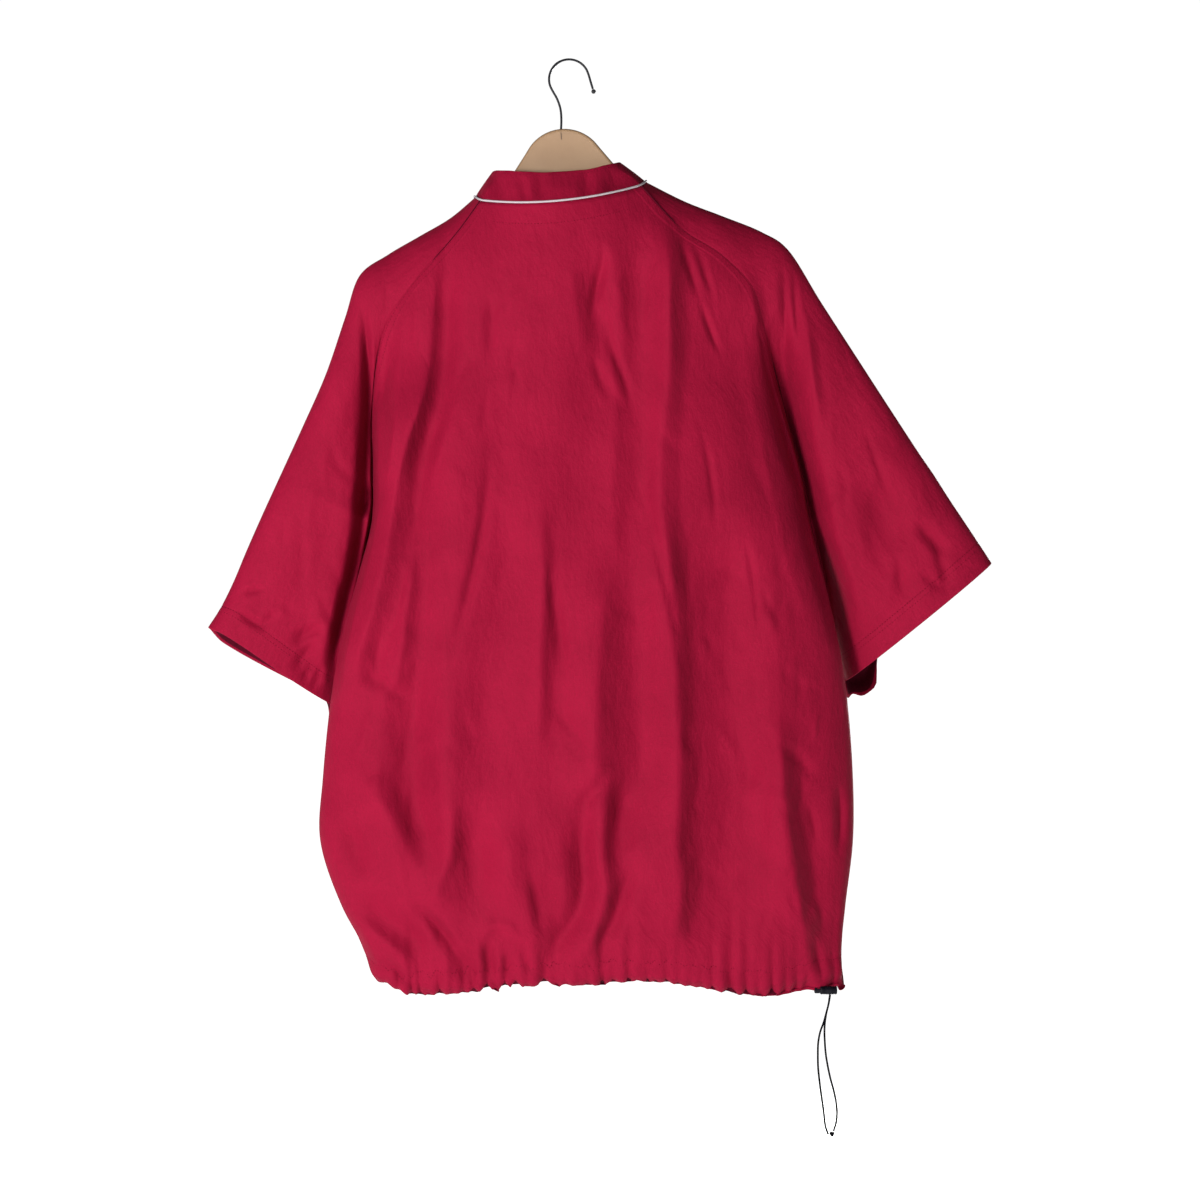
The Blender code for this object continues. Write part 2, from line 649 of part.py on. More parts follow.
def make_lock(group, plastic):
    half = LOCK_LENGTH / 2
    soft = 1.0
    barrel = [(-half, 0.0), (-half, LOCK_RADIUS - soft), (-half + soft, LOCK_RADIUS),
              (half - soft, LOCK_RADIUS), (half, LOCK_RADIUS - soft), (half, 0.0)]
    turned("cord_lock_barrel", barrel, LOCK_CENTRE, group, plastic)
    start = half + SMALL_GAP
    end = start + LOCK_BUTTON_LENGTH
    button = [(start, 0.0), (start, LOCK_BUTTON_RADIUS), (end - soft, LOCK_BUTTON_RADIUS),
              (end, LOCK_BUTTON_RADIUS - soft), (end, 0.0)]
    mirrored = [(-x, radius) for x, radius in reversed(button)]
    turned("cord_lock_button", mirrored, LOCK_CENTRE, group, plastic)


# The two free strands hang from the lock to the knot: first one behind the other, then apart.
STRAND_LEFT = [
    (-246.6, 28.65, -883.65), (-245.2, 28.65, -892.0), (-243.0, 28.65, -900.5),
    (-240.6, 28.7, -909.2), (-237.4, 28.6, -918.0), (-235.5, 28.4, -928.0),
    (-235.1, 28.3, -940.0), (-235.4, 28.2, -952.0), (-236.6, 28.0, -964.0),
    (-238.0, 27.9, -975.0), (-239.6, 27.8, -986.0), (-241.0, 27.7, -997.0),
    (-242.4, 27.6, -1007.5), (-244.95, 27.5, -1015.0),
]
STRAND_RIGHT = [
    (-246.6, 26.35, -883.65), (-245.4, 26.35, -892.0), (-243.4, 26.35, -900.5),
    (-242.0, 26.35, -909.2), (-241.5, 26.4, -918.0), (-241.8, 26.5, -928.0),
    (-242.8, 26.6, -940.0), (-244.6, 26.7, -951.0), (-247.2, 26.8, -963.0),
    (-250.2, 26.9, -974.0), (-252.4, 27.0, -985.0), (-253.2, 27.2, -995.0),
    (-252.4, 27.4, -1003.5), (-249.9, 27.5, -1011.75),
]
KNOT_CENTRE = (-248.5, 27.5, -1014.4)


def make_cord(group, cord):
    tube("drawcord_left", smooth_line(STRAND_LEFT, 34), CORD_RADIUS, group, cord)
    tube("drawcord_right", smooth_line(STRAND_RIGHT, 34), CORD_RADIUS, group, cord)
    bpy.ops.mesh.primitive_uv_sphere_add(segments=14, ring_count=8, radius=KNOT_RADIUS * MM)
    knot = bpy.context.active_object
    knot.name = "drawcord_knot"
    knot.location = np.array(KNOT_CENTRE) * MM
    adopt(knot, group, cord)


# ---------------------------------------------------------------- all of it
def build():
    start_clean()
    group = make_collection("anorak_pullover")
    make_collection("cutters")
    crimson = (0.36, 0.012, 0.036)
    cloth = {name: make_material("cloth_" + name, crimson, 0.6)
             for name in ("back", "front", "left", "right", "collar")}
    piping = make_material("piping", (0.72, 0.66, 0.68), 0.6)
    wood = make_material("wood", (0.52, 0.34, 0.20), 0.45)
    wire = make_material("wire", (0.03, 0.03, 0.032), 0.35, 1.0)
    rubber = make_material("rubber", (0.02, 0.02, 0.022), 0.5)
    plastic = make_material("plastic", (0.012, 0.011, 0.018), 0.4)
    cord = make_material("cord", (0.018, 0.018, 0.025), 0.8)
    make_panels(group, cloth)
    make_sleeve("left", group, cloth)
    make_sleeve("right", group, cloth)
    make_collar(group, cloth)
    make_piping(group, piping)
    make_hanger(group, wood)
    make_hook(group, wire, rubber)
    make_lock(group, plastic)
    make_cord(group, cord)


build()
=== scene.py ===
"""Looks of the short-sleeved pullover windshirt on its wooden hanger.

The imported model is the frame.  Its soft nodes are replaced here by finer cloth on the same
form: +Z up, the garment's front faces -Y, its back faces +Y and the camera, and +X is the
wearer's left.  Sizes are in millimetres until an object is made.
"""
import math

import bpy
import numpy as np
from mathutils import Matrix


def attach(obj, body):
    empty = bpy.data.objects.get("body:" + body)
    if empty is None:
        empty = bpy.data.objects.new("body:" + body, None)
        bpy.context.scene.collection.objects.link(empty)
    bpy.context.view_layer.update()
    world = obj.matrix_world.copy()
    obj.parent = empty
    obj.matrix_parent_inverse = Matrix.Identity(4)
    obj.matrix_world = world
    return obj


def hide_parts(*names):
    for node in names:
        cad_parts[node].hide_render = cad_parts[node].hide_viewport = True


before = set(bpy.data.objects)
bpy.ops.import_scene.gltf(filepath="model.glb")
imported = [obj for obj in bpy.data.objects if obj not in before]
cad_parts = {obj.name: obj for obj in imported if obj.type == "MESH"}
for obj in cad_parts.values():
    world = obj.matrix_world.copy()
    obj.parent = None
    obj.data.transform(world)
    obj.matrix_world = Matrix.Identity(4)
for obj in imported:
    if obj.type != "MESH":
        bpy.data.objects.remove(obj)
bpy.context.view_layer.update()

MM = 0.001

# ---------------------------------------------------------------- sizes
CAMERA_PLACE = (-30.4, 2600.0, -512.5)
CAMERA_LENS = 82.1
SENSOR_WIDTH = 36.0
PICTURE_SIDE = 1200
PIXEL = 0.95                # one picture column at the hanger's plane

CLOTH_WALL = 0.7
SEAM_STAND_BACK = 0.07
SIDE_STAND_BACK = 0.02      # the side seams are drawn closer, so that no light shows through
NECK_STAND_BACK = 0.5
COLLAR_POINT_STAND_BACK = 2.0
UNDERARM_STAND_BACK = 0.6
SMALL_GAP = 0.35
PIPING_RADIUS = 1.15
CORD_RADIUS = 0.95
HOOK_WIRE_RADIUS = 1.1
HOOK_LOOP_RADIUS = 19.0
HOOK_CAP_RADIUS = 2.2
HANGER_THICKNESS = 12.0
HANGER_EDGE_ROUNDING = 3.0
HANGER_TILT_DEGREES = 4.2
HANGER_TOP = (6.3, -65.5)
LOCK_LENGTH = 16.0
LOCK_RADIUS = 3.9
LOCK_BUTTON_LENGTH = 5.0
LOCK_BUTTON_RADIUS = 2.9
LOCK_CENTRE = (-245.2, 27.5, -879.4)
KNOT_CENTRE = (-248.5, 27.5, -1014.4)
FLOOR_HEIGHT = -1500.0

BODY_COLUMNS = 250
FRONT_COLUMNS = 210
SLEEVE_HALF_COLUMNS = 62
COLLAR_ROWS = 14


def table(columns, *rows):
    """A short table as a dictionary of its named columns."""
    values = np.array(rows, dtype=float)
    return {name: values[:, i] for i, name in enumerate(columns.split())}


# Side and raglan seams of the body from the hem (row 0) over the underarm (row 8) to the
# neck (row 16), with the depths between them.
UNDERARM_ROW = 8
NECK_ROW = 16
BODY = table(
    "row left_x left_z right_x right_z side_y front_y front_in front_drop back front square open sag",
    (0, 176, -875, -262, -876.5, 5.8, 5.8, 0, 0, 58, -54, 2.4, 0.0, 0),
    (1, 190, -845, -259, -845, 5.9, 5.9, 0, 0, 66, -60, 2.4, 0.0, 0),
    (2, 215, -800, -263, -800, 6, 6, 0, 0, 73, -65, 2.4, 0.0, 0),
    (3, 234.5, -740, -270, -740, 6, 6, 0, 0, 77, -68, 2.4, 0.0, 0),
    (4, 232, -680, -270, -680, 6, 6, 0, 0, 76, -68, 2.4, 0.0, 0),
    (5, 225, -610, -265, -610, 5, 5, 0, 0, 73, -66, 2.5, 0.0, 0),
    (6, 215, -550, -256, -550, 1, 1, 0, 0, 70, -64, 2.6, 0.0, 0),
    (7, 200, -490, -243, -490, -12, -12, 0, 0, 67, -62, 2.8, 0.0, 0),
    (8, 188, -437, -231, -437, -30, -30, 0, 0, 64, -60, 3.0, 0.0, 0),
    (9, 187, -385, -222, -388, -26, -36, 2, 0, 61, -58, 3.0, 0.1, 0),
    (10, 187, -335, -208, -335, -14, -38, 4, -2, 59, -57, 2.9, 0.35, 0),
    (11, 181, -285, -194, -285, 6, -38, 6, -4, 57, -57, 2.6, 0.7, -1),
    (12, 170, -250, -184, -250, 20, -36, 8, -5, 57, -58, 2.3, 1.0, -3),
    (13, 153, -224, -172, -216, 26, -33, 8, -6, 57, -59, 2.1, 1.0, -4),
    (14, 129, -196, -143, -187, 28, -31, 7, -8, 56, -60, 2.0, 1.0, -6),
    (15, 103, -166, -106, -163, 28, -30, 5, -10, 54, -61, 2.0, 1.0, -8),
    (16, 82, -137, -69, -123, 26, -28, 3, -12, 52, -62, 2.0, 1.0, -11),
)
NECK_POINT_Z = -300.0
NECK_CALM_ROWS = 1.0        # the cloth is held flat this near the neck seam
HEM_EDGE = table(
    "x z",
    (176, -875), (150, -886), (114, -885), (62, -879.5), (16, -875.5), (-12, -875.5),
    (-68, -871), (-123, -878), (-179, -886), (-221, -882), (-262, -876.5),
)
HEM_EDGE_REACH = 1.5
FRONT_HEM_RISE = 3.0

SLEEVE_COLUMNS = "station ridge_x ridge_z inner_x inner_y inner_z back front"
UNDERARM_STATION = 8
CUFF_STATION = 13
SLEEVE_LEFT = table(
    SLEEVE_COLUMNS,
    (0, 88, -130, 0, 0, 0, 4, 4),
    (1, 112, -150, 0, 0, 0, 7, 7),
    (2, 141, -167, 0, 0, 0, 9, 9),
    (3, 171, -184.5, 0, 0, 0, 10, 11),
    (4, 198, -204.5, 0, 0, 0, 12, 12),
    (5, 212, -245, 0, 0, 0, 13, 12),
    (6, 230, -298, 0, 0, 0, 22, 18),
    (7, 252, -348, 0, 0, 0, 30, 24),
    (8, 274, -396, 188, -30, -437, 36, 28),
    (9, 290, -431, 196, -38, -475, 38, 30),
    (10, 305, -465, 204, -42, -513, 38, 31),
    (11, 318, -496, 211, -44, -550, 38, 32),
    (12, 330, -520, 217, -45, -582, 37, 33),
    (13, 341.5, -538, 223, -45, -614, 36, 34),
)
SLEEVE_RIGHT = table(
    SLEEVE_COLUMNS,
    (0, -74, -115.5, 0, 0, 0, 4, 4),
    (1, -111, -134, 0, 0, 0, 7, 7),
    (2, -147, -148, 0, 0, 0, 9, 9),
    (3, -184, -163, 0, 0, 0, 10, 11),
    (4, -210, -181, 0, 0, 0, 12, 12),
    (5, -240, -229, 0, 0, 0, 14, 12),
    (6, -271, -277, 0, 0, 0, 24, 18),
    (7, -302, -325, 0, 0, 0, 33, 25),
    (8, -332, -371, -231, -30, -437, 39, 30),
    (9, -347, -393, -239, -38, -468, 41, 32),
    (10, -361, -415, -246, -42, -499, 42, 33),
    (11, -375, -436, -253, -44, -530, 42, 34),
    (12, -389, -457, -260, -45, -560, 42, 35),
    (13, -402, -477, -267, -45, -589, 42, 36),
)
BACK_CLOSING = 0.28         # how late a sleeve's back turns in at the body; 0.5 is round
# The corner that hangs from each cuff at its back seam, and how far the cuff is drawn up at its
# back and let down at its front.  First the left sleeve, then the right one.
CUFFS = table(
    "depth slant flare place reach scallop hollow curl lift drop",
    (18, 0, 0, -0.89, 0.08, 0, 0, 0, 4.5, 8.5),
    (23, 10, 8, -0.84, 0.15, 1.8, 12, 12, 0, 0),
)
LIFT_PLACE = 0.32
LIFT_REACH = 0.26
COLLAR_TOP = table(
    "turn x y z",
    (0.0, 5.4, -54, -218),
    (0.5, 31, -44, -170),
    (1.0, 66, -24, -117),
    (1.5, 72, -3, -106),
    (2.0, 62, 21, -108),
    (2.5, 41, 33, -111),
    (3.0, 10, 36, -111.5),
    (3.5, -22, 32, -108),
    (4.0, -43, 20, -101),
    (4.5, -51, -3, -97.5),
    (5.0, -50, -24, -107),
    (5.5, -21, -44, -166),
    (6.0, 4.6, -54, -218),
)


# ---------------------------------------------------------------- folds
FADE_LENGTH = 80.0          # over how much of its route a fold comes and goes, at most
FOLD_REACH = 1.9            # how far each flank of a fold goes, in widths
FLANK_POWER = 1.5           # 1 would make the flanks straight
FOLD_HEIGHT = 3.6           # of all folds over their depths in the tables
ROUNDED = 0.9
CRISP = 0.16


def fold(width, depth, *route, lean=0.0, soft=ROUNDED, steepest=1.0):
    """A stroke along a route.  Depth is negative for a trough and positive for a ridge.
    A positive lean makes the right side steep, going down the route, a negative one the left.
    A soft stroke is rounded along its middle, and a crisp one comes to an edge there.
    The steepest slope of its flanks holds its depth down."""
    highest = steepest * FOLD_REACH * width * (1 - abs(lean)) * PIXEL / FLANK_POWER
    height = math.copysign(min(FOLD_HEIGHT * abs(depth), highest), depth)
    route = np.array(route, dtype=float)
    return {"width": width, "height": height, "lean": lean, "soft": soft, "route": route}


def crease(width, depth, *route, lean=0.0, steepest=1.0):
    return fold(width, depth, *route, lean=lean, soft=CRISP, steepest=steepest)


# Back and both sleeves' backs, in picture columns and rows.
BACK_FOLDS = [
    # left side of the body
    crease(14, 4, (439, 226), (434, 300), (431, 350), (423, 400), (406, 450), (394, 500), lean=0.42),
    fold(19, 6.4, (430, 350), (421, 400), (405, 450), (394, 500), (386, 550), (375, 600), (360, 650),
         (350, 720), lean=0.42, soft=0.45, steepest=2.1),
    crease(6, 2.6, (401, 300), (401, 345), (399, 395), (395, 440), (388, 478), (370, 499), lean=0.3),
    crease(5, -1.4, (388, 340), (385, 373), (381, 420)),
    fold(7, -3.2, (382, 482), (370, 497), (364, 520)),
    crease(14, 3, (416, 510), (411, 575), (407, 605), (402, 650), (394, 720), lean=0.35, steepest=1.6),
    fold(13, -3.6, (416, 640), (414, 700), (412, 750), (416, 800), (424, 850), (432, 900)),
    fold(10, -3, (446, 232), (441, 300), (440, 350), (433, 400), (420, 450), (408, 500)),
    fold(17, 2.4, (452, 360), (450, 450), (452, 560), (450, 660), (446, 760), (448, 870), lean=-0.2),
    crease(5, -1.8, (360, 674), (378, 681), (398, 682)),
    crease(4, -1.4, (382, 684), (396, 694), (412, 698)),
    crease(3, -1.1, (417, 742), (424, 765), (431, 786)),
    crease(3, -0.9, (428, 762), (434, 782), (436, 800)),
    crease(16, 2.6, (340, 736), (368, 784), (396, 826), (412, 856), (430, 904), lean=0.2),
    fold(9, -3.4, (344, 812), (355, 846), (366, 884)),
    fold(12, -4.4, (352, 886), (374, 904), (396, 926), (420, 946), (446, 966), lean=0.2),
    crease(14, 5, (348, 906), (372, 930), (396, 950), (420, 974), lean=0.45),
    crease(6, -5, (408, 902), (424, 914), (440, 932), (454, 950), (464, 968), lean=0.1, steepest=2),
    fold(7, -2.6, (452, 948), (464, 968), (476, 992)),
    crease(5, -2.2, (384, 958), (397, 972), (409, 988)),
    crease(3.5, 1.5, (482, 952), (484, 933), (492, 926), (506, 925), (515, 932), (521, 950)),
    crease(5, -4.4, (487, 934), (488, 955), (492, 994), lean=0.1, steepest=1.8),
    crease(4, -3.4, (507, 948), (507, 970), (506, 990), steepest=1.6),
    crease(4, -2.4, (519, 938), (525, 960), (531, 982)),
    fold(12, -3.2, (478, 780), (474, 830), (478, 860), (477, 890), (470, 940)),
    crease(9, 1.9, (452, 800), (451, 850), (438, 884), (420, 920), lean=0.3),
    fold(12, 2, (514, 820), (510, 870), (514, 910), lean=0.3),
    crease(4, -1.8, (530, 866), (536, 900), (542, 942)),
    fold(8, -2.2, (541, 866), (547, 905), (552, 940)),
    crease(4.5, -1.6, (489, 440), (487, 490), (478, 552), (465, 605), (450, 658)),
    crease(5, -1, (489, 290), (491, 325), (489, 365)),
    crease(5, -1, (519, 330), (514, 362), (516, 392)),
    fold(14, 1.8, (532, 420), (534, 500), (530, 560)),
    fold(12, -1.4, (497, 640), (482, 720), (486, 800)),
    # middle
    crease(12, 2.9, (541, 490), (543, 560), (543, 610), (541, 650), (541, 700), (538, 770), lean=0.45),
    crease(5, -2.2, (549, 560), (556, 610), (562, 655), (563, 690)),
    crease(4, -1.3, (548, 696), (570, 728), (600, 762)),
    crease(3, -0.9, (556, 730), (576, 752), (594, 772)),
    crease(22, 3.4, (606, 540), (602, 620), (597, 700), (597, 750), (600, 840)),
    crease(6, -3.8, (609, 768), (592, 794), (574, 812)),
    crease(12, -6, (588, 780), (582, 850), (584, 885), (575, 918), (554, 950), (548, 972), (552, 1000)),
    crease(10, 5, (607, 768), (607, 800), (602, 845), (604, 884), (602, 915), (588, 950), (582, 986),
           lean=0.15),
    crease(8, -5, (646, 850), (627, 884), (614, 918), (600, 948), (596, 976)),
    fold(9, -3.4, (620, 760), (622, 800), (616, 850), (622, 884)),
    crease(4, -2.4, (602, 236), (603, 260), (596, 290), (590, 320)),
    fold(9, -3.4, (600, 240), (596, 286), (604, 340), (612, 372)),
    crease(4, -1.9, (606, 300), (612, 345), (628, 390), (634, 424)),
    crease(4, -1.5, (592, 352), (602, 380), (616, 402)),
    fold(12, -3.4, (645, 216), (641, 300), (642, 350), (644, 400), (644, 460), (643, 510), (637, 580)),
    fold(16, -2, (596, 300), (600, 380), (604, 450)),
    crease(15, 3.5, (668, 196), (669, 250), (668, 300), (669, 350), (665, 400), (660, 450), (660, 500),
           (667, 550), (670, 600), (675, 650), (676, 700), (679, 750), (678, 800), (677, 850), (681, 885),
           (677, 925), (672, 975), lean=0.3),
    crease(4, -1.6, (650, 508), (656, 540), (668, 592), (680, 650)),
    crease(3, -0.9, (668, 590), (676, 640), (684, 690)),
    fold(24, -4.2, (716, 500), (724, 620), (728, 740), (726, 840), (719, 910), (714, 985), lean=0.15),
    fold(18, -2.8, (632, 540), (632, 650), (638, 720), (642, 860)),
    crease(3.5, -2, (679, 226), (688, 262), (701, 304)),
    crease(3, -1.4, (699, 296), (709, 326), (721, 358)),
    crease(3, -1.4, (694, 234), (703, 266), (714, 300)),
    crease(3, -0.9, (744, 530), (755, 585), (760, 642)),
    crease(3, -0.8, (700, 420), (712, 480), (716, 540)),
    # right side of the body
    crease(11, 3.6, (742, 250), (752, 300), (760, 350), (768, 400), (779, 450), (798, 500), (806, 550),
           (822, 610), (830, 660), lean=0.35),
    crease(14, 3.8, (776, 700), (781, 760), (784, 800), (791, 850), (799, 900), (809, 955), (812, 985),
           lean=0.3),
    crease(3.5, -1.2, (770, 738), (790, 752), (812, 772), (826, 784)),
    crease(3, -1, (806, 800), (814, 822), (818, 846)),
    fold(12, -2.2, (806, 780), (814, 850), (820, 900), (822, 950)),
    fold(7, -3.4, (822, 890), (823, 920), (824, 955), (826, 996), lean=-0.3),
    crease(5, -5.2, (812, 922), (818, 955), (824, 992), lean=0.2),
    crease(5, -2, (838, 775), (841, 820), (838, 865)),
    # valleys between the body and the sleeves
    fold(3.5, -4, (361, 288), (366, 340), (368, 385), (367, 430), (365, 475), soft=0.3, steepest=2.4),
    fold(5.5, -7, (368, 405), (365, 470), (362, 520), (355, 565), (346, 600), (336, 650), (329, 705),
         lean=-0.15, soft=0.3, steepest=2.4),
    fold(12, 5, (362, 330), (356, 385), (353, 440), (350, 500), (345, 550), (335, 600), (326, 650),
         (320, 700), lean=0.45),
    fold(13, -8, (773, 300), (788, 385), (799, 445), (812, 500), (823, 550), (839, 600), (847, 655),
         lean=0.35, soft=0.3, steepest=2.2),
    fold(13, 5, (790, 320), (803, 385), (812, 445), (823, 500), (834, 550), (849, 600), (858, 660),
         lean=-0.45),
    # right sleeve
    crease(4, -2.8, (783, 252), (785, 300), (787, 352), (792, 400)),
    crease(3, -1.7, (793, 266), (796, 310), (799, 354)),
    crease(5, 1.6, (805, 300), (812, 380), (822, 440)),
    crease(6, -2, (912, 516), (932, 538), (955, 560)),
    crease(3, -1, (920, 568), (935, 584), (950, 592)),
    crease(5, -1.5, (897, 550), (903, 590), (906, 606)),
    crease(5, -1.5, (934, 538), (943, 565), (949, 598)),
    fold(12, -2.6, (880, 460), (886, 520), (897, 570)),
    crease(3, -0.8, (862, 420), (880, 470), (902, 520)),
    # left sleeve
    crease(5, -2, (290, 646), (306, 634), (328, 624)),
    crease(5, -2.2, (293, 676), (305, 655), (320, 636)),
    crease(4, -1.5, (300, 690), (310, 668), (317, 650)),
    crease(4, -1.3, (310, 694), (318, 676), (322, 660)),
    crease(3.5, -1.1, (262, 636), (266, 622), (280, 610)),
    crease(3.5, -1.1, (236, 610), (250, 620), (266, 628)),
    crease(3, -0.9, (240, 596), (252, 590), (266, 588)),
]
# Front and both sleeves' fronts, in millimetres to the wearer's left and down.
FRONT_FOLDS = [
    crease(15, -7, (118, 250), (130, 350), (138, 420), (142, 480), (136, 560)),
    crease(15, 5, (92, 260), (100, 360), (108, 450), (104, 540), (92, 640), lean=0.2),
    crease(15, -7, (-138, 250), (-152, 350), (-158, 420), (-162, 490), (-158, 570), lean=0.2),
    crease(14, 4.6, (-106, 270), (-116, 380), (-124, 480), (-118, 580), lean=-0.2),
    crease(16, -6, (62, 320), (70, 420), (68, 560), (60, 660), (58, 740), lean=0.2),
    crease(16, -6.5, (-50, 330), (-62, 460), (-64, 600), (-58, 700), (-52, 780), lean=-0.2),
    crease(20, 5.5, (5, 410), (0, 560), (-8, 700), (-10, 800)),
    crease(13, -7, (152, 620), (138, 720), (120, 800), (116, 872)),
    crease(14, -7, (-172, 620), (-156, 730), (-134, 810), (-126, 872)),
    crease(10, -6.4, (42, 690), (32, 770), (36, 830), (44, 874), lean=0.2),
    crease(9, -5, (-20, 740), (-14, 800), (-24, 874)),
    crease(8, -4, (92, 740), (84, 800), (86, 874)),
    crease(8, -4, (-86, 760), (-94, 815), (-90, 874)),
    crease(6, 2.5, (16, 760), (12, 810), (10, 850)),
    crease(5, -2.6, (24, 318), (42, 380), (50, 450)),
    crease(5, -2.6, (-14, 318), (-32, 390), (-40, 450)),
    crease(4, -2, (96, 240), (102, 300), (112, 350)),
    crease(4, -2, (-104, 230), (-112, 290), (-120, 350)),
    crease(6, -3, (180, 560), (168, 600), (150, 640)),
    crease(6, -3, (-200, 570), (-186, 610), (-166, 650)),
    crease(6, -2.5, (250, 520), (268, 545), (290, 560)),
    crease(6, -2.5, (-300, 470), (-316, 505), (-340, 525)),
    fold(9, -3, (226, 330), (244, 390), (262, 440)),
    fold(9, -3, (-270, 300), (-292, 360), (-310, 420)),
]
# The collar, in picture columns and rows.
COLLAR_FOLDS = [
    fold(4, -0.8, (541, 164), (540, 186), (538, 206)),
    fold(4, -0.6, (497, 164), (497, 186), (499, 206)),
    fold(3, -0.6, (523, 170), (523, 188), (526, 206)),
    fold(4, -0.7, (588, 160), (587, 180), (583, 204)),
    fold(6, -1.2, (622, 156), (615, 178), (607, 200)),
]


def scattered(seed, count, low, high, unit_length=1.0):
    """Many faint short creases, most of them upright, within a rectangle."""
    rng = np.random.default_rng(seed)
    strokes = []
    for _ in range(count):
        start = rng.uniform(low, high)
        angle = rng.normal(math.pi / 2, 0.45)
        length = rng.uniform(22, 80) * unit_length
        way = np.array([math.cos(angle), math.sin(angle)]) * length
        bend = np.array([-way[1], way[0]]) * rng.uniform(-0.14, 0.14)
        depth = rng.uniform(0.12, 0.5) * (1 if rng.random() < 0.35 else -1)
        strokes.append(crease(rng.uniform(3.0, 5.0), depth, start, start + way / 2 + bend, start + way))
    return strokes


BACK_FOLDS += scattered(31, 130, (365, 250), (825, 930))
BACK_FOLDS += scattered(43, 60, (360, 620), (470, 900), 0.6)
BACK_FOLDS += scattered(45, 60, (670, 560), (810, 930), 0.6)
BACK_FOLDS += scattered(33, 24, (245, 330), (345, 660))
BACK_FOLDS += scattered(35, 24, (830, 330), (960, 600))
FRONT_FOLDS += scattered(37, 120, (-240, 200), (190, 830), PIXEL)
FRONT_FOLDS += scattered(39, 24, (215, 300), (310, 600), PIXEL)
FRONT_FOLDS += scattered(41, 24, (-370, 280), (-260, 540), PIXEL)

# Gathers of the hem: picture column, trough depth, how far the edge is drawn up, width.
HEM_GATHERS = table(
    "at depth rise width",
    (386, 1.5, 0.6, 4), (398, 1.2, 0.4, 3), (411, 2.0, 0.8, 3), (419, 2.2, 1.2, 3),
    (428, 1.4, 0.2, 4), (439, 2.4, 1.4, 3.5), (452, 1.6, 0.0, 4), (463, 1.8, 0.4, 4),
    (473, 2.0, 1.8, 3), (486, 2.6, 4.4, 4), (495, 2.4, 0.0, 3), (504, 2.6, 4.6, 3.5),
    (515, 2.6, 5.0, 4), (527, 1.6, 0.6, 4), (544, 3.0, 3.6, 6), (556, 2.0, 0.0, 3),
    (566, 1.8, 0.8, 4), (579, 1.6, 0.4, 4), (588, 1.8, 0.8, 3.5), (602, 2.6, 1.0, 3),
    (613, 1.8, 0.9, 4), (629, 2.2, 1.4, 3), (639, 1.4, 0.6, 3.5), (648, 2.2, 0.6, 3),
    (656, 1.8, 0.4, 3), (667, 2.4, 1.6, 4), (679, 2.0, 0.8, 3.5), (691, 1.8, 0.4, 4),
    (702, 1.8, 0.6, 4), (713, 2.0, 0.8, 3), (728, 1.8, 2.0, 3), (733, 2.4, 2.0, 2.5),
    (747, 2.2, 1.4, 4), (759, 1.4, 0.8, 4), (773, 2.2, 2.2, 3), (786, 1.6, 1.0, 4),
    (797, 1.8, 1.2, 4), (808, 2.0, 1.2, 6), (835, 1.2, 0.0, 4),
)
FRONT_GATHER_PITCH = 11.0
FRONT_GATHERS_RIGHT = -250.0
FRONT_GATHERS_LEFT = 172.0
GATHER_HEIGHT = 36.0
CLEFT_DEPTH = 3.0           # of the gathers in the channel, over their depths in the table
CLEFT_ROUNDING = 0.1
CLEFT_OFFSET = 0.32         # brings a rounded gather back to about its whole depth
TALL_GATHER = 95.0          # how far above the channel the cloth still shows its gathers
TALL_DEPTH = 1.5
TALL_WIDTH = 1.7
LEAST_RISE = 0.6            # how far every gather draws the edge up
RISE_GAIN = 1.4
RISE_HEIGHT = 14.0
HEM_TUCK = 9.0              # how far the drawn-in edge stands back from the blousing cloth
HEM_TUCK_REACH = 48.0
HEM_ROWS = 4                # the hem's shaping ends below this row of the body
CHANNEL_HEIGHT = 31.0
CUFF_HEM = 23.5
SIDE_CALM = 14.0            # the hem keeps its edge in line this near the side seams


# ---------------------------------------------------------------- mathematics
def smooth(keys, values, at):
    """Read a table column between its rows along one smooth curve."""
    at = np.asarray(at, dtype=float)
    slopes = np.gradient(values, keys)
    i = np.clip(np.searchsorted(keys, at, side="right") - 1, 0, len(keys) - 2)
    step = keys[i + 1] - keys[i]
    u = np.clip((at - keys[i]) / step, 0.0, 1.0)
    start = (1 + 2 * u) * (1 - u) ** 2 * values[i] + u * (1 - u) ** 2 * step * slopes[i]
    end = u * u * (3 - 2 * u) * values[i + 1] + u * u * (u - 1) * step * slopes[i + 1]
    return start + end


def ease(u):
    """Ramp from 0 to 1 with flat ends."""
    u = np.clip(u, 0.0, 1.0)
    return u * u * (3 - 2 * u)


def unit(vectors):
    return vectors / np.maximum(np.linalg.norm(vectors, axis=-1)[..., None], 1e-9)


def lengths_along(line):
    """How far along a line each of its points lies."""
    return np.concatenate([[0.0], np.cumsum(np.linalg.norm(np.diff(line, axis=0), axis=1))])


def read_along(values, keys, at):
    """Values given at a line's points, read between them at some lengths along it."""
    return np.stack([np.interp(at, keys, values[:, a]) for a in range(3)], axis=-1)


def smooth_line(route, count):
    """Evenly keyed points of one smooth curve through a route's own points."""
    route = np.array(route, dtype=float)
    keys = lengths_along(route)
    at = np.linspace(0.0, keys[-1], count)
    return np.stack([smooth(keys, route[:, a], at) for a in range(route.shape[1])], axis=-1)


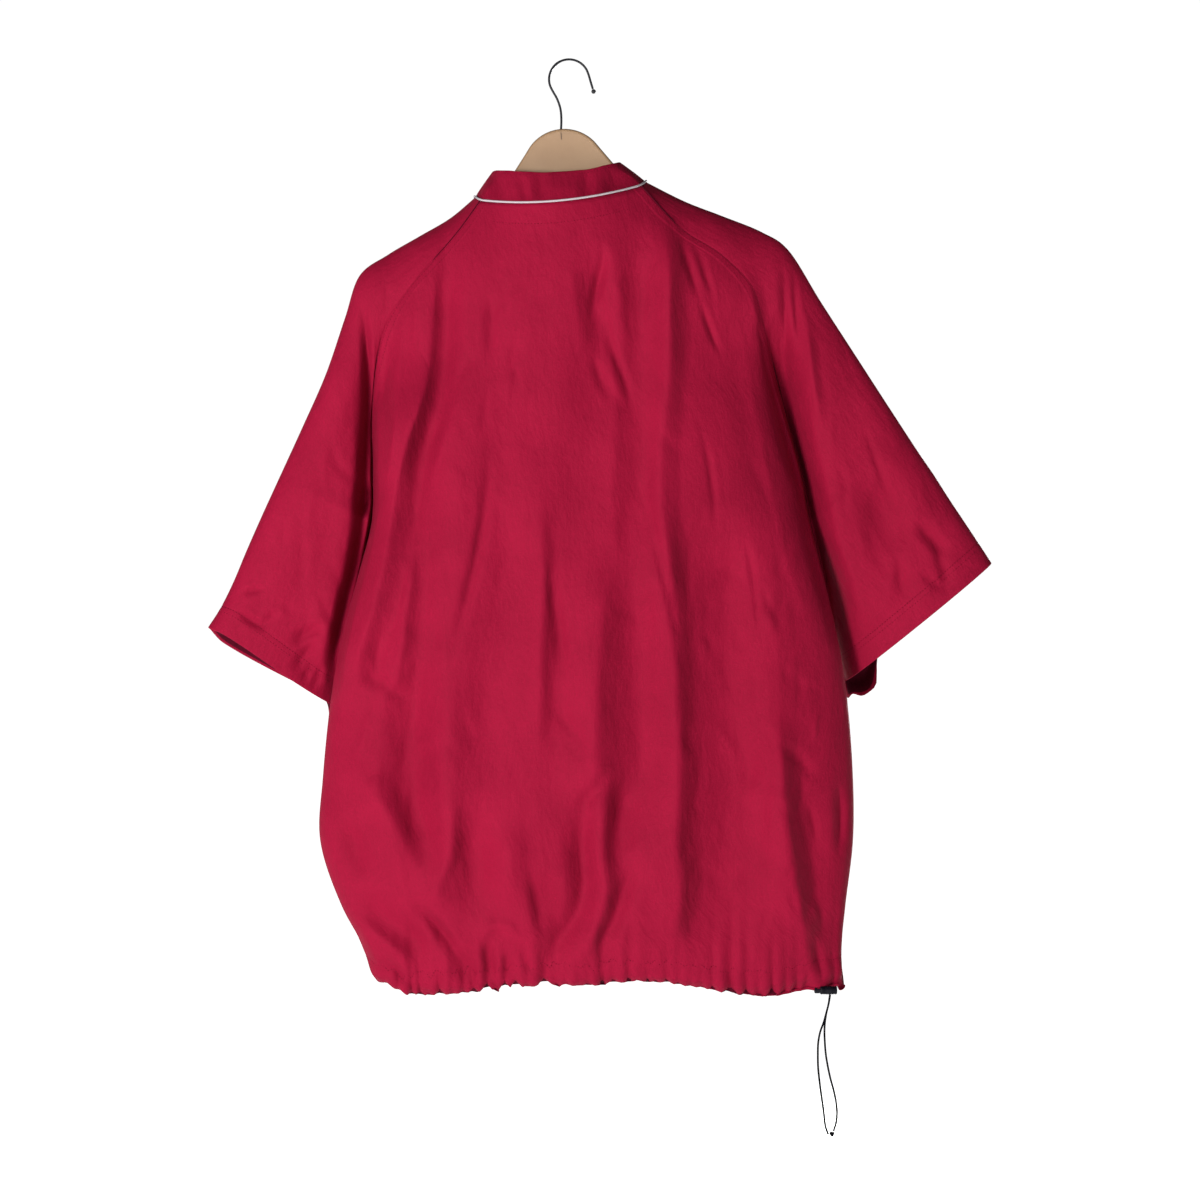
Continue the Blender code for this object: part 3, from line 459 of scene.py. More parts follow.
def picture_place(points):
    """Columns and rows of the square picture where the camera sees the points."""
    scale = CAMERA_PLACE[1] / (CAMERA_PLACE[1] - points[..., 1]) / PIXEL
    across = PICTURE_SIDE / 2 + (CAMERA_PLACE[0] - points[..., 0]) * scale
    down = PICTURE_SIDE / 2 + (CAMERA_PLACE[2] - points[..., 2]) * scale
    return across, down


ROUTE_STEP = 7.0            # a fold's route is drawn in straight steps of about this length
LONGEST_FADE = 0.42         # as a share of the route
BOX_MARGIN = 1.4            # of the box in which a fold is looked for, over its reach


def fold_field(folds, across, down):
    """Sum of all folds at the given places."""
    shape = across.shape
    across, down = across.ravel(), down.ravel()
    total = np.zeros(across.size)
    for stroke in folds:
        width, lean = stroke["width"], stroke["lean"]
        length = np.linalg.norm(np.diff(stroke["route"], axis=0), axis=1).sum()
        line = smooth_line(stroke["route"], max(4, int(length / ROUTE_STEP)))
        reach = BOX_MARGIN * FOLD_REACH * width * (1 + abs(lean))
        low, high = line.min(axis=0) - reach, line.max(axis=0) + reach
        inside = (across > low[0]) & (across < high[0]) & (down > low[1]) & (down < high[1])
        near = np.flatnonzero(inside)
        if not near.size:
            continue
        px, py = across[near], down[near]
        best = np.full(near.size, np.inf)
        at = np.zeros(near.size)
        side = np.zeros(near.size)
        last = len(line) - 1
        for k in range(last):
            sx, sy = line[k + 1] - line[k]
            dx, dy = px - line[k, 0], py - line[k, 1]
            t = np.clip((dx * sx + dy * sy) / (sx * sx + sy * sy), 0.0, 1.0)
            dx, dy = dx - t * sx, dy - t * sy
            away = dx * dx + dy * dy
            closer = away < best
            best = np.where(closer, away, best)
            at = np.where(closer, (k + t) / last, at)
            side = np.where(closer, dx * sy - dy * sx, side)
        sided = width * np.where(side > 0, 1 - lean, 1 + lean)
        share = min(LONGEST_FADE, FADE_LENGTH / length)
        fade = ease(at / share) * ease((1 - at) / share)
        rounding = stroke["soft"] * sided
        away = (np.sqrt(best + rounding ** 2) - rounding) / (FOLD_REACH * sided)
        total[near] += stroke["height"] * fade * np.maximum(1 - away, 0.0) ** FLANK_POWER
    return total.reshape(shape)


def crumple(across, down, shortest, longest, seed, count=36):
    """Uneven soft waves of about unit height, the same in every run."""
    rng = np.random.default_rng(seed)
    total = np.zeros_like(across)
    for _ in range(count):
        wave = math.exp(rng.uniform(math.log(shortest), math.log(longest)))
        angle = rng.uniform(0, math.pi)
        phase = rng.uniform(0, 2 * math.pi)
        run = across * math.cos(angle) + down * math.sin(angle)
        total += np.sin(2 * math.pi * run / wave + phase) * wave / longest
    return total * math.sqrt(2.0 / count)


WRINKLE_LINES = 0.22
WRINKLE_WAVES = 0.8


def wrinkle(across, down, seed):
    """Fine wrinkles: faint crisp lines in all directions, and long upright soft waves."""
    coarse = np.abs(crumple(across, down / 1.6, 22, 70, seed))
    fine = np.abs(crumple(across, down / 2.4, 12, 34, seed + 9))
    waves = crumple(across, down / 3.5, 30, 90, seed + 2)
    return -WRINKLE_LINES * (coarse + 0.6 * fine) + WRINKLE_WAVES * waves


# ---------------------------------------------------------------- garment form
def body_value(name, row):
    return smooth(BODY["row"], BODY[name], row)


def raglan_point(side, layer, row):
    """Point of a side seam (rows 0 to 8) or raglan seam (rows 8 to 16)."""
    x = body_value(side + "_x", row)
    y = body_value("side_y", row)
    z = body_value(side + "_z", row)
    if layer == "front":
        raglan = row > UNDERARM_ROW
        x = x - np.sign(x) * body_value("front_in", row) * raglan
        y = np.where(raglan, body_value("front_y", row), y)
        z = z + body_value("front_drop", row) * raglan
    return np.stack([x, y, z], axis=-1)


def gather_lines(layer):
    """Where the hem's gathers are: their places, depths, rises and widths."""
    if layer == "back":
        return HEM_GATHERS
    rng = np.random.default_rng(21)
    places = np.arange(FRONT_GATHERS_RIGHT, FRONT_GATHERS_LEFT, FRONT_GATHER_PITCH)
    places = places + rng.uniform(-4, 4, places.size)
    return {
        "at": places,
        "depth": rng.uniform(1.2, 2.8, places.size),
        "rise": rng.uniform(0.0, 1.0, places.size) ** 3 * 4.5,
        "width": rng.uniform(2.8, 4.5, places.size),
    }


def gather_field(layer, across, height):
    """Depth of the gathers at a height above the hem's edge, and the edge's rise there."""
    lines = gather_lines(layer)
    depth = np.zeros_like(across)
    rise = np.zeros_like(across)
    fade = ease((GATHER_HEIGHT - height) / GATHER_HEIGHT)
    for i in range(len(lines["at"])):
        away = np.abs(across - lines["at"][i]) / lines["width"][i]
        cleft = CLEFT_DEPTH * np.exp(-np.sqrt(away ** 2 + CLEFT_ROUNDING) + CLEFT_OFFSET) * fade
        length = TALL_GATHER * (0.5 + 0.5 * math.sin(2.4 * i) ** 2)
        tall = TALL_DEPTH * np.exp(-(away / TALL_WIDTH) ** 2)
        above = tall * ease(1 - np.abs(height - CHANNEL_HEIGHT) / length)
        depth += lines["depth"][i] * (cleft + above)
        rise += (LEAST_RISE + RISE_GAIN * lines["rise"][i]) * np.exp(-away ** 2)
    return depth, rise * np.clip(1 - height / RISE_HEIGHT, 0, 1)


def surface_relief(layer, points):
    """Folds and fine crumples of one layer as a shift along Y."""
    if layer == "back":
        u, v = picture_place(points)
        return fold_field(BACK_FOLDS, u, v) + wrinkle(u, v, 3)
    x, z = points[..., 0], -points[..., 2]
    return -(fold_field(FRONT_FOLDS, x, z) + wrinkle(x, z, 4))


NECK_V = 0.75               # how straight the head opening's sides are, from 0 to 1
HEM_CORNER = 0.08           # share of the front's half width in which its hem drops to the seam
SEAM_CORNER = 0.05          # share of the half width in which the folds fade towards a seam
TUCK_POWER = 1.3


def panel_points(layer, rows, across):
    """Points of the back or front panel; across runs from 0, left, to 1, right."""
    row, s = np.meshgrid(rows, across, indexing="ij")
    left = raglan_point("left", layer, row)
    right = raglan_point("right", layer, row)
    opened = body_value("open", row)
    reach = (1 - opened) * np.cos(math.pi * s) + opened * (1 - 2 * s)
    square = body_value("square", row)
    closing = (1 - opened) / square + opened
    dome = np.maximum(1 - np.abs(reach) ** square, 0.0) ** closing
    share = ((1 - reach) / 2)[..., None]
    points = left * (1 - share) + right * share
    x, end_y, z = np.moveaxis(points, -1, 0)
    y = end_y + (body_value(layer, row) - end_y) * dome
    upper = np.clip((row - UNDERARM_ROW) / (NECK_ROW - UNDERARM_ROW), 0.0, 1.0)
    lower = ease(1 - row / HEM_EDGE_REACH)
    if layer == "back":
        z = z + body_value("sag", row) * (1 - reach ** 2)
        edge = smooth(-HEM_EDGE["x"], HEM_EDGE["z"], -x)
        z = z + (edge - z) * lower
    else:
        chord = (left[..., 2] + right[..., 2]) / 2
        underarm_z = (body_value("left_z", UNDERARM_ROW) + body_value("right_z", UNDERARM_ROW)) / 2
        centre_z = underarm_z + (NECK_POINT_Z - underarm_z) * upper
        straight = (NECK_V * upper + (1 - NECK_V)) * np.abs(reach)
        opening = 1 - straight - (NECK_V - NECK_V * upper) * reach ** 2
        z = z + (centre_z - chord) * np.where(row > UNDERARM_ROW, opening, 0.0)
        z = z + FRONT_HEM_RISE * ease((1 - np.abs(reach)) / HEM_CORNER) * lower
    points = np.stack([x, y, z], axis=-1)
    free = np.maximum(ease((1 - np.abs(reach)) / SEAM_CORNER), opened)
    free = free * ease((NECK_ROW - row) / NECK_CALM_ROWS)
    points[..., 1] += surface_relief(layer, points) * free
    height = points[..., 2] - points[:1, :, 2]
    places = picture_place(points)[0] if layer == "back" else points[..., 0]
    depth, rise = gather_field(layer, places, height)
    outward = 1.0 if layer == "back" else -1.0
    tuck = HEM_TUCK * np.clip(1 - height / HEM_TUCK_REACH, 0, 1) ** TUCK_POWER * dome
    near_hem = ease(HEM_ROWS - row)
    points[..., 1] -= outward * (depth * free + tuck) * near_hem
    points[..., 2] += rise * free * near_hem
    return points


RIDGE_CALM = 0.3            # how near its ridge a sleeve's folds fade, and near its seams
SLEEVE_SEAM_CALM = 0.1
SAG_SHARPNESS = 12          # power that gives the cuff's hanging corner its steep sides
SCALLOP_TURNS = 8.0


def sleeve_points(side, stations, around):
    """Points of a sleeve; around runs from -1, front seam, over 0, ridge, to 1, back seam."""
    form = SLEEVE_LEFT if side == "left" else SLEEVE_RIGHT
    station, q = np.meshgrid(stations, around, indexing="ij")

    def value(name):
        return smooth(form["station"], form[name], station)

    ridge = np.stack([value("ridge_x"), np.zeros_like(q), value("ridge_z")], axis=-1)
    row = np.clip(NECK_ROW - station, UNDERARM_ROW, NECK_ROW)
    seam_back = raglan_point(side, "back", row)
    seam_front = raglan_point(side, "front", row)
    tube = form["station"] >= UNDERARM_STATION
    low = np.maximum(station, UNDERARM_STATION)
    inner = np.stack([smooth(form["station"][tube], form["inner_" + a][tube], low) for a in "xyz"], axis=-1)
    past = (station > UNDERARM_STATION)[..., None]
    end = np.where(past, inner, np.where((q >= 0)[..., None], seam_back, seam_front))
    share = (1 - np.cos(math.pi * np.abs(q))) / 2
    opened = np.where(past[..., 0], 0.0, body_value("open", row))
    fullness = np.where(q >= 0, BACK_CLOSING, 0.5)
    closing = fullness + (1 - fullness) * opened
    peak = 0.5 / (0.5 + closing)
    top = peak ** 0.5 * (1 - peak) ** closing
    dome = share ** 0.5 * np.maximum(1 - share, 0.0) ** closing / top
    points = ridge + (end - ridge) * share[..., None]
    points[..., 1] += np.where(q >= 0, value("back"), -value("front")) * dome
    to_cuff = ease((station - UNDERARM_STATION) / (CUFF_STATION - UNDERARM_STATION)) ** 2
    cuff = {name: values[0 if side == "left" else 1] for name, values in CUFFS.items()}
    away = (q - cuff["place"]) / cuff["reach"]
    corner = np.exp(-away ** SAG_SHARPNESS)
    hanging = corner * to_cuff
    points[..., 0] += np.sign(points[..., 0]) * cuff["flare"] * np.clip(away, 0, 1) * hanging
    scallop = cuff["scallop"] * np.cos(away * SCALLOP_TURNS)
    points[..., 2] -= (cuff["depth"] + cuff["slant"] * away - scallop) * hanging
    points[..., 1] -= cuff["hollow"] * np.exp(-(away / 0.8) ** 2) * to_cuff
    points[..., 1] += cuff["curl"] * corner * ease(2 * (station - CUFF_STATION + 0.5))
    drawn_up = np.exp(-((q - LIFT_PLACE) / LIFT_REACH) ** 2) * ease(4 * q)
    let_down = np.exp(-((q + LIFT_PLACE) / (1.5 * LIFT_REACH)) ** 2) * ease(-5 * q)
    points[..., 2] += (cuff["lift"] * drawn_up - cuff["drop"] * let_down) * to_cuff
    relief = np.where(q >= 0, surface_relief("back", points), surface_relief("front", points))
    free = ease(np.abs(q) / RIDGE_CALM) * np.maximum(ease((1 - np.abs(q)) / SLEEVE_SEAM_CALM), opened)
    free = free * ease(station / NECK_CALM_ROWS)
    points[..., 1] += relief * free
    return points


def body_rows():
    """Rows of both panels, closer together at the hem."""
    return np.concatenate([
        np.linspace(0, 1, 17)[:-1],
        np.linspace(1, UNDERARM_ROW, 90)[:-1],
        np.linspace(UNDERARM_ROW, NECK_ROW, 62),
    ])


def body_across(columns):
    """Places across a panel from 0 to 1, closer together at both seams."""
    t = np.linspace(0, 1, columns + 1)
    return t - 0.3 * np.sin(2 * math.pi * t) / (2 * math.pi)


def sleeve_stations():
    return np.concatenate([
        np.linspace(0, UNDERARM_STATION, 132)[:-1],
        np.linspace(UNDERARM_STATION, CUFF_STATION, 74),
    ])


def sleeve_around():
    return np.linspace(-1, 1, 2 * SLEEVE_HALF_COLUMNS + 1)


# ---------------------------------------------------------------- working on grids
FIRST_ROW = (0, 0)          # edges of a grid, as an axis and a place on it
LAST_ROW = (0, -1)
FIRST_COLUMN = (1, 0)
LAST_COLUMN = (1, -1)


def grid_normals(grid, outward):
    """Unit normals of a grid; outward, +1 or -1, makes them point out of the garment."""
    normals = np.cross(np.gradient(grid, axis=0), np.gradient(grid, axis=1))
    return unit(normals) * outward


def stand_back(grid, edges, distance=SEAM_STAND_BACK):
    """Move some edges of a grid of points in, so that two pieces never touch."""
    moved = grid.copy()
    for axis, at in edges:
        border = grid.take(at, axis=axis)
        along = unit(np.gradient(border, axis=0))
        way = grid.take(-2 if at else 1, axis=axis) - border
        across = way - np.sum(way * along, axis=-1)[:, None] * along
        lane = (slice(None), at) if axis else at
        moved[lane] += distance * unit(across)
    return moved


def distance_in(grid, axis, from_end):
    """How far each point lies from one edge, measured along its row or column."""
    steps = np.linalg.norm(np.diff(grid, axis=axis), axis=-1)
    if from_end:
        steps = np.flip(steps, axis=axis)
    run = np.cumsum(steps, axis=axis)
    zero = np.zeros_like(run.take([0], axis=axis))
    run = np.concatenate([zero, run], axis=axis)
    return np.flip(run, axis=axis) if from_end else run


SEAM_DIP = 0.3              # how deep the cloth rolls in at a seam
SEAM_DIP_REACH = 1.0
SEAM_LAP = 0.4              # how far the stitched seam allowance lifts the cloth
SEAM_LAP_WIDTH = 9.0
SEAM_LAP_EDGE = 1.5


def seam_relief(distance, lapped):
    """Relief of a seam at a distance from it, along the normal."""
    relief = -SEAM_DIP * np.exp(-(distance / SEAM_DIP_REACH) ** 2)
    if lapped:
        relief = relief + SEAM_LAP * ease((SEAM_LAP_WIDTH + SEAM_LAP_EDGE - distance) / SEAM_LAP_EDGE)
    return relief


def averaged(values, reach, closed):
    """Values of each row averaged over their neighbours in it."""
    pad = [(0, 0)] * values.ndim
    pad[-2] = (reach, reach)
    padded = np.pad(values, pad, mode="wrap" if closed else "edge")
    count = values.shape[-2]
    return sum(padded[..., i:i + count, :] for i in range(2 * reach + 1)) / (2 * reach + 1)


TURN_SHARES = (1.0, 0.8, 0.6, 0.42, 0.26, 0.12)     # heights of the rows turned in, from the top
TURN_SPREAD = 4.0           # how much further in than the edge the turned cloth ends
TURN_STEPS = 8
TURN_DROP = 1.8             # of the roll round the edge, in radii


def turn_in(grid, normals, radius, height, closed=False):
    """Add rows round a turned edge and up inside, a little in from the cloth's own rows."""
    soft = averaged(grid, 2, closed)
    inward = -unit(averaged(normals, 6, closed))
    run = distance_in(grid, 0, False)[:, grid.shape[1] // 2]
    rows = []
    for share in TURN_SHARES:
        k = int(np.searchsorted(run, height * share))
        rows.append(soft[k] + inward[k] * (2 * radius + TURN_SPREAD * share))
    down = unit(averaged(grid[0] - grid[2], 6, closed))
    for angle in np.linspace(math.pi, 0, TURN_STEPS)[:-1]:
        share = ease(angle / math.pi * 1.6 - 0.6)
        mixed = soft[0] * share + grid[0] * (1 - share)
        mixed = mixed - down * radius * TURN_DROP * share
        rows.append(mixed + down * radius * math.sin(angle) + inward[0] * radius * (1 - math.cos(angle)))
    return np.concatenate([np.array(rows), grid])


def between(grid, rows, columns):
    """Points of a grid at fractional rows and columns."""
    r = np.clip(np.floor(rows).astype(int), 0, grid.shape[0] - 2)
    c = np.clip(np.floor(columns).astype(int), 0, grid.shape[1] - 2)
    fr, fc = (rows - r)[:, None], (columns - c)[:, None]
    top = grid[r, c] * (1 - fc) + grid[r, c + 1] * fc
    low = grid[r + 1, c] * (1 - fc) + grid[r + 1, c + 1] * fc
    return top * (1 - fr) + low * fr


def line_at_distance(grid, distance, axis, from_end, first, last):
    """Fractional rows and columns of a line that keeps its distance from one edge."""
    run = distance_in(grid, axis, from_end)
    lanes = np.arange(first, last)
    places = []
    for i in lanes:
        lane = run[i] if axis == 1 else run[:, i]
        steps = np.arange(lane.size)
        if from_end:
            lane, steps = lane[::-1], steps[::-1]
        places.append(np.interp(distance, lane, steps))
    lines = lanes.astype(float), np.array(places)
    return lines if axis == 1 else lines[::-1]


# ---------------------------------------------------------------- object making
scene_group = bpy.data.collections.new("looks")
bpy.context.scene.collection.children.link(scene_group)


def add_object(name, data, material):
    made = bpy.data.objects.new(name, data)
    data.materials.append(material)
    scene_group.objects.link(made)
    return made


def stands_for(piece, node=None):
    """Let a piece ride on the part's one body, and hide the node it looks after, if one is given."""
    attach(piece, "root")
    if node:
        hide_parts(node)


def mesh_object(name, vertices, faces, material, uvs=None):
    data = bpy.data.meshes.new(name)
    data.from_pydata((np.asarray(vertices) * MM).tolist(), [], faces)
    if uvs is not None:
        layer = data.uv_layers.new(name="weave")
        corners = np.zeros(len(data.loops), dtype=np.int32)
        data.loops.foreach_get("vertex_index", corners)
        layer.data.foreach_set("uv", uvs[corners].astype(np.float32).ravel())
    data.shade_smooth()
    return add_object(name, data, material)


def grid_object(name, grid, materials, closed_rows=0, flip=False):
    """Quads over a grid of points, with cloth lengths as its UVs.
    In its first closed_rows both side columns are one.
    The second material, a much darker copy of the cloth that paints shade, is for the inside and for the
    rows turned in."""
    rows, columns = grid.shape[:2]
    index = np.arange(rows * columns).reshape(rows, columns)
    index[:closed_rows, -1] = index[:closed_rows, 0]
    corners = [index[:-1, :-1], index[:-1, 1:], index[1:, 1:], index[1:, :-1]]
    quads = np.stack(corners, axis=-1).reshape(-1, 4)
    if flip:
        quads = quads[:, ::-1]
    middle = columns // 2
    across = distance_in(grid, 1, False)
    across = across - across[:, middle:middle + 1]
    along = np.repeat(distance_in(grid[:, middle:middle + 1], 0, False), columns, axis=1)
    uvs = np.stack([across, along], axis=-1).reshape(-1, 2) * MM
    points = grid.reshape(-1, 3)
    used = np.unique(quads)
    new_index = np.zeros(len(points), dtype=int)
    new_index[used] = np.arange(len(used))
    made = mesh_object(name, points[used], new_index[quads].tolist(), materials[0], uvs[used])
    made.data.materials.append(materials[1])
    # The turned-in rows take the second material: painted shade.
    turned_in = np.zeros(len(quads), dtype=np.int32)
    turned_in[:len(TURN_SHARES) * (columns - 1)] = 1
    made.data.polygons.foreach_set("material_index", turned_in)
    wall = made.modifiers.new("wall", "SOLIDIFY")
    # The inner wall takes the second material too: painted shade.
    wall.material_offset = 1
    wall.thickness = CLOTH_WALL * MM
    wall.offset = -1.0
    return made


def ring_faces(rings, sides, capped=True, flip=False):
    """Faces of a tube whose rings of points follow one another."""
    faces = []
    for i in range(rings - 1):
        for k in range(sides):
            a, b = i * sides + k, i * sides + (k + 1) % sides
            faces.append((a, a + sides, b + sides, b) if flip else (a, b, b + sides, a + sides))
    if capped:
        first, last = tuple(range(sides)), tuple(range((rings - 1) * sides, rings * sides))
        faces += [first, last[::-1]] if flip else [first[::-1], last]
    return faces


def swept(name, line, radii, sides, material, capped=True):
    """A round tube along a line, with its own radius at each point."""
    line = np.asarray(line, dtype=float)
    along = unit(np.gradient(line, axis=0))
    side = np.cross(along[0], (0.0, 0.0, 1.0))
    if np.linalg.norm(side) < 0.2:
        side = np.cross(along[0], (0.0, 1.0, 0.0))
    angle = np.linspace(0, 2 * math.pi, sides, endpoint=False)[:, None]
    rings = []
    for i in range(len(line)):
        side = unit(side - np.dot(side, along[i]) * along[i])
        up = np.cross(along[i], side)
        rings.append(line[i] + radii[i] * (np.cos(angle) * side + np.sin(angle) * up))
    return mesh_object(name, np.concatenate(rings), ring_faces(len(line), sides, capped), material)


def turned(name, profile, centre, sides, material):
    """A round piece turned about the X axis from a profile of (x, radius)."""
    vertices = []
    for x, radius in profile:
        for k in range(sides):
            angle = 2 * math.pi * k / sides
            spot = (x, radius * math.cos(angle), radius * math.sin(angle))
            vertices.append([middle + shift for middle, shift in zip(centre, spot)])
    made = mesh_object(name, vertices, ring_faces(len(profile), sides, flip=True), material)
    made.data.set_sharp_from_angle(angle=math.radians(38))
    return made


def curve_object(name, points, material, dimensions, radius, bevel_steps):
    """A curve of straight steps with a round edge."""
    curve = bpy.data.curves.new(name, "CURVE")
    curve.dimensions = dimensions
    curve.bevel_depth = radius * MM
    curve.bevel_resolution = bevel_steps
    curve.render_resolution_u = 0
    spline = curve.splines.new("POLY")
    spline.points.add(len(points) - 1)
    for slot, point in zip(spline.points, np.array(points)):
        slot.co = (*(point * MM), 1.0)
    return add_object(name, curve, material)


STITCH_PITCH = 3.1
STITCH_LENGTH = 2.2
STITCH_HALF_WIDTH = 0.34
STITCH_RISE = 0.22
STITCH_SINK = 0.1           # how far a stitch's ends lie below the cloth
STITCH_UNDERSIDE = 0.12
STITCH_SHOULDERS = (0.28, 0.72)


class Stitches:
    """Rows of sewn stitches, gathered into one mesh."""

    def __init__(self):
        self.vertices = []
        self.faces = []

    def row(self, grid, normals, seed, *edge_line):
        """Lay stitches along a line of a grid, which line_at_distance finds."""
        r, c = line_at_distance(grid, *edge_line)
        line, normals = between(grid, r, c), between(normals, r, c)
        rng = np.random.default_rng(seed)
        keys = lengths_along(line)
        for start in np.arange(0.0, keys[-1] - STITCH_LENGTH, STITCH_PITCH):
            ends = [read_along(line, keys, at) for at in (start, start + STITCH_LENGTH)]
            normal = unit(read_along(normals, keys, start + STITCH_LENGTH / 2))
            along = unit(ends[1] - ends[0])
            side = np.cross(normal, along) * STITCH_HALF_WIDTH * rng.uniform(0.85, 1.15)
            first = len(self.vertices)
            self.vertices += [end - normal * STITCH_SINK for end in ends]
            for share in STITCH_SHOULDERS:
                spot = ends[0] * (1 - share) + ends[1] * share
                self.vertices += [spot + normal * STITCH_RISE, spot + side,
                                  spot - normal * STITCH_UNDERSIDE, spot - side]
            for k in range(4):
                a, b = first + 2 + k, first + 2 + (k + 1) % 4
                self.faces += [(first, b, a), (a, b, b + 4, a + 4), (first + 1, a + 4, b + 4)]

    def finish(self, name, material):
        return mesh_object(name, self.vertices, self.faces, material)


# ---------------------------------------------------------------- materials
class Nodes:
    """The node tree of a material or of the world, with short ways to add to it."""

    def __init__(self, owner, shader):
        owner.use_nodes = True
        self.owner = owner
        self.tree = owner.node_tree
        self.shader = self.tree.nodes[shader]
        self.relief = {}

    def feed(self, node, inputs):
        """Give a node's inputs plain values or other nodes' outputs."""
        for name, value in inputs.items():
            if isinstance(value, bpy.types.NodeSocket):
                self.tree.links.new(value, node.inputs[name])
            else:
                node.inputs[name].default_value = value

    def add(self, kind, inputs, **settings):
        node = self.tree.nodes.new("ShaderNode" + kind)
        for name, value in settings.items():
            setattr(node, name, value)
        self.feed(node, inputs)
        return node.outputs

    def set(self, **inputs):
        """Give the shader's inputs; their names are written with _ for a space."""
        self.feed(self.shader, {name.replace("_", " "): value for name, value in inputs.items()})

    def place(self, kind="Object"):
        return self.add("TexCoord", {})[kind]

    def noise(self, source, scale, detail=3.0, rough=0.5, stretch=(1, 1, 1)):
        mapped = self.add("Mapping", {"Vector": source, "Scale": stretch})["Vector"]
        inputs = {"Vector": mapped, "Scale": scale, "Detail": detail, "Roughness": rough}
        return self.add("TexNoise", inputs)["Fac"]

    def wave(self, source, direction, scale, distortion, detail=2.0):
        inputs = {"Vector": source, "Scale": scale, "Distortion": distortion, "Detail": detail}
        return self.add("TexWave", inputs, bands_direction=direction)["Fac"]

    def range(self, value, low, high, to_low=0.0, to_high=1.0):
        inputs = {"Value": value, "From Min": low, "From Max": high, "To Min": to_low, "To Max": to_high}
        return self.add("MapRange", inputs)["Result"]

    def maths(self, operation, *values):
        return self.add("Math", dict(enumerate(values)), operation=operation)[0]

    def split(self, vector):
        return self.add("SeparateXYZ", {"Vector": vector})

    def mix(self, factor, first, second):
        """Blend two colours, or a colour and what was mixed before."""
        ends = [(*end, 1.0) if isinstance(end, tuple) else end for end in (first, second)]
        return self.add("Mix", {"Factor": factor, 6: ends[0], 7: ends[1]}, data_type="RGBA")[2]

    def bump(self, height, strength, distance):
        """Add relief on top of the relief there is."""
        inputs = {"Height": height, "Strength": strength, "Distance": distance, **self.relief}
        self.relief = {"Normal": self.add("Bump", inputs)["Normal"]}
        self.feed(self.shader, self.relief)


def new_look(name, roughness, specular):
    look = Nodes(bpy.data.materials.new(name), "Principled BSDF")
    look.set(Roughness=roughness, Specular_IOR_Level=specular)
    return look


CLOTH_BRIGHT = (0.222, 0.0038, 0.0230)
CLOTH_DEEP = (0.172, 0.0025, 0.0172)
# Painted shade: a much darker copy of the cloth colour for the inside wall and the turned-in rows.
SHADED_INSIDE_BRIGHT = (0.060, 0.0014, 0.0085)
SHADED_INSIDE_DEEP = (0.045, 0.0010, 0.0065)
ALONG_THREADS = (1500, 55, 1)
ACROSS_THREADS = (55, 1500, 1)
WEAVE_SCALE = 560.0


def cloth_material(name, seed, bright=CLOTH_BRIGHT, deep=CLOTH_DEEP):
    """Matte woven microfibre: plain weave of uneven threads, a faint sheen and small crinkles."""
    look = new_look(name, 0.75, 0.045)
    shift = (seed * 1.37, seed * 0.71, 0)
    place = look.add("Mapping", {"Vector": look.place("UV"), "Location": shift})["Vector"]
    warp = look.noise(place, 1.0, 2.0, 0.6, ALONG_THREADS)
    weft = look.noise(place, 1.0, 2.0, 0.6, ACROSS_THREADS)
    threads = look.maths("ADD", warp, weft)
    grain = look.noise(place, 420.0, 3.0, 0.65)
    cloud = look.noise(place, 16.0, 4.0, 0.6)
    tone = look.maths("ADD", look.maths("MULTIPLY", threads, 0.16), look.maths("MULTIPLY", cloud, 0.5))
    tone = look.maths("ADD", tone, look.maths("MULTIPLY", grain, 0.4))
    look.set(Base_Color=look.mix(look.range(tone, 0.42, 0.74), deep, bright))
    look.set(Sheen_Weight=0.012, Sheen_Roughness=0.45, Sheen_Tint=(1.0, 0.45, 0.55, 1.0))
    look.set(Roughness=look.range(grain, 0.3, 0.7, 0.66, 0.8))
    bent = look.noise(place, 9.0, 2.0, 0.5)
    crinkle = look.noise(place, 1.0, 3.0, 0.5, (70, 30, 1))
    look.bump(look.maths("ABSOLUTE", look.maths("SUBTRACT", crinkle, bent)), 0.5, 0.0033)
    look.bump(look.noise(place, 1.0, 4.0, 0.6, (190, 120, 1)), 0.35, 0.0012)
    waves = [look.wave(place, direction, WEAVE_SCALE, 0.6, 1.0) for direction in "XY"]
    weave = look.maths("MULTIPLY", look.maths("ADD", *waves), 0.25)
    look.bump(look.maths("ADD", weave, threads), 0.3, 0.00022)
    look.bump(grain, 0.4, 0.0006)
    return look.owner


def thread_material():
    look = new_look("stitch_thread", 0.8, 0.05)
    tone = look.noise(look.place(), 900.0)
    look.set(Base_Color=look.mix(tone, (0.13, 0.002, 0.013), (0.18, 0.004, 0.020)))
    return look.owner


def piping_material():
    """Off-white bias-cut binding over a cord."""
    look = new_look("white_piping", 0.65, 0.3)
    source = look.place()
    tone = look.noise(source, 140.0)
    look.set(Base_Color=look.mix(tone, (0.30, 0.255, 0.275), (0.40, 0.35, 0.37)))
    look.bump(look.wave(source, "DIAGONAL", 420.0, 1.0), 0.3, 0.0002)
    return look.owner


CRACK_X = 0.5               # a short crack below the hook, in the hanger's own frame
CRACK_Y = -7.0
CRACK_HALF_LENGTH = 4.5
WOOD_PALE = (0.294, 0.184, 0.104)
WOOD_MIDDLE = (0.252, 0.150, 0.080)
WOOD_GRAIN = (0.21, 0.128, 0.072)
WOOD_STAIN = (0.18, 0.115, 0.068)
# Painted shade on the rounded edges of the hanger.
WOOD_EDGE_SHADE = (0.12, 0.068, 0.036)
WOOD_CRACK = (0.05, 0.024, 0.012)


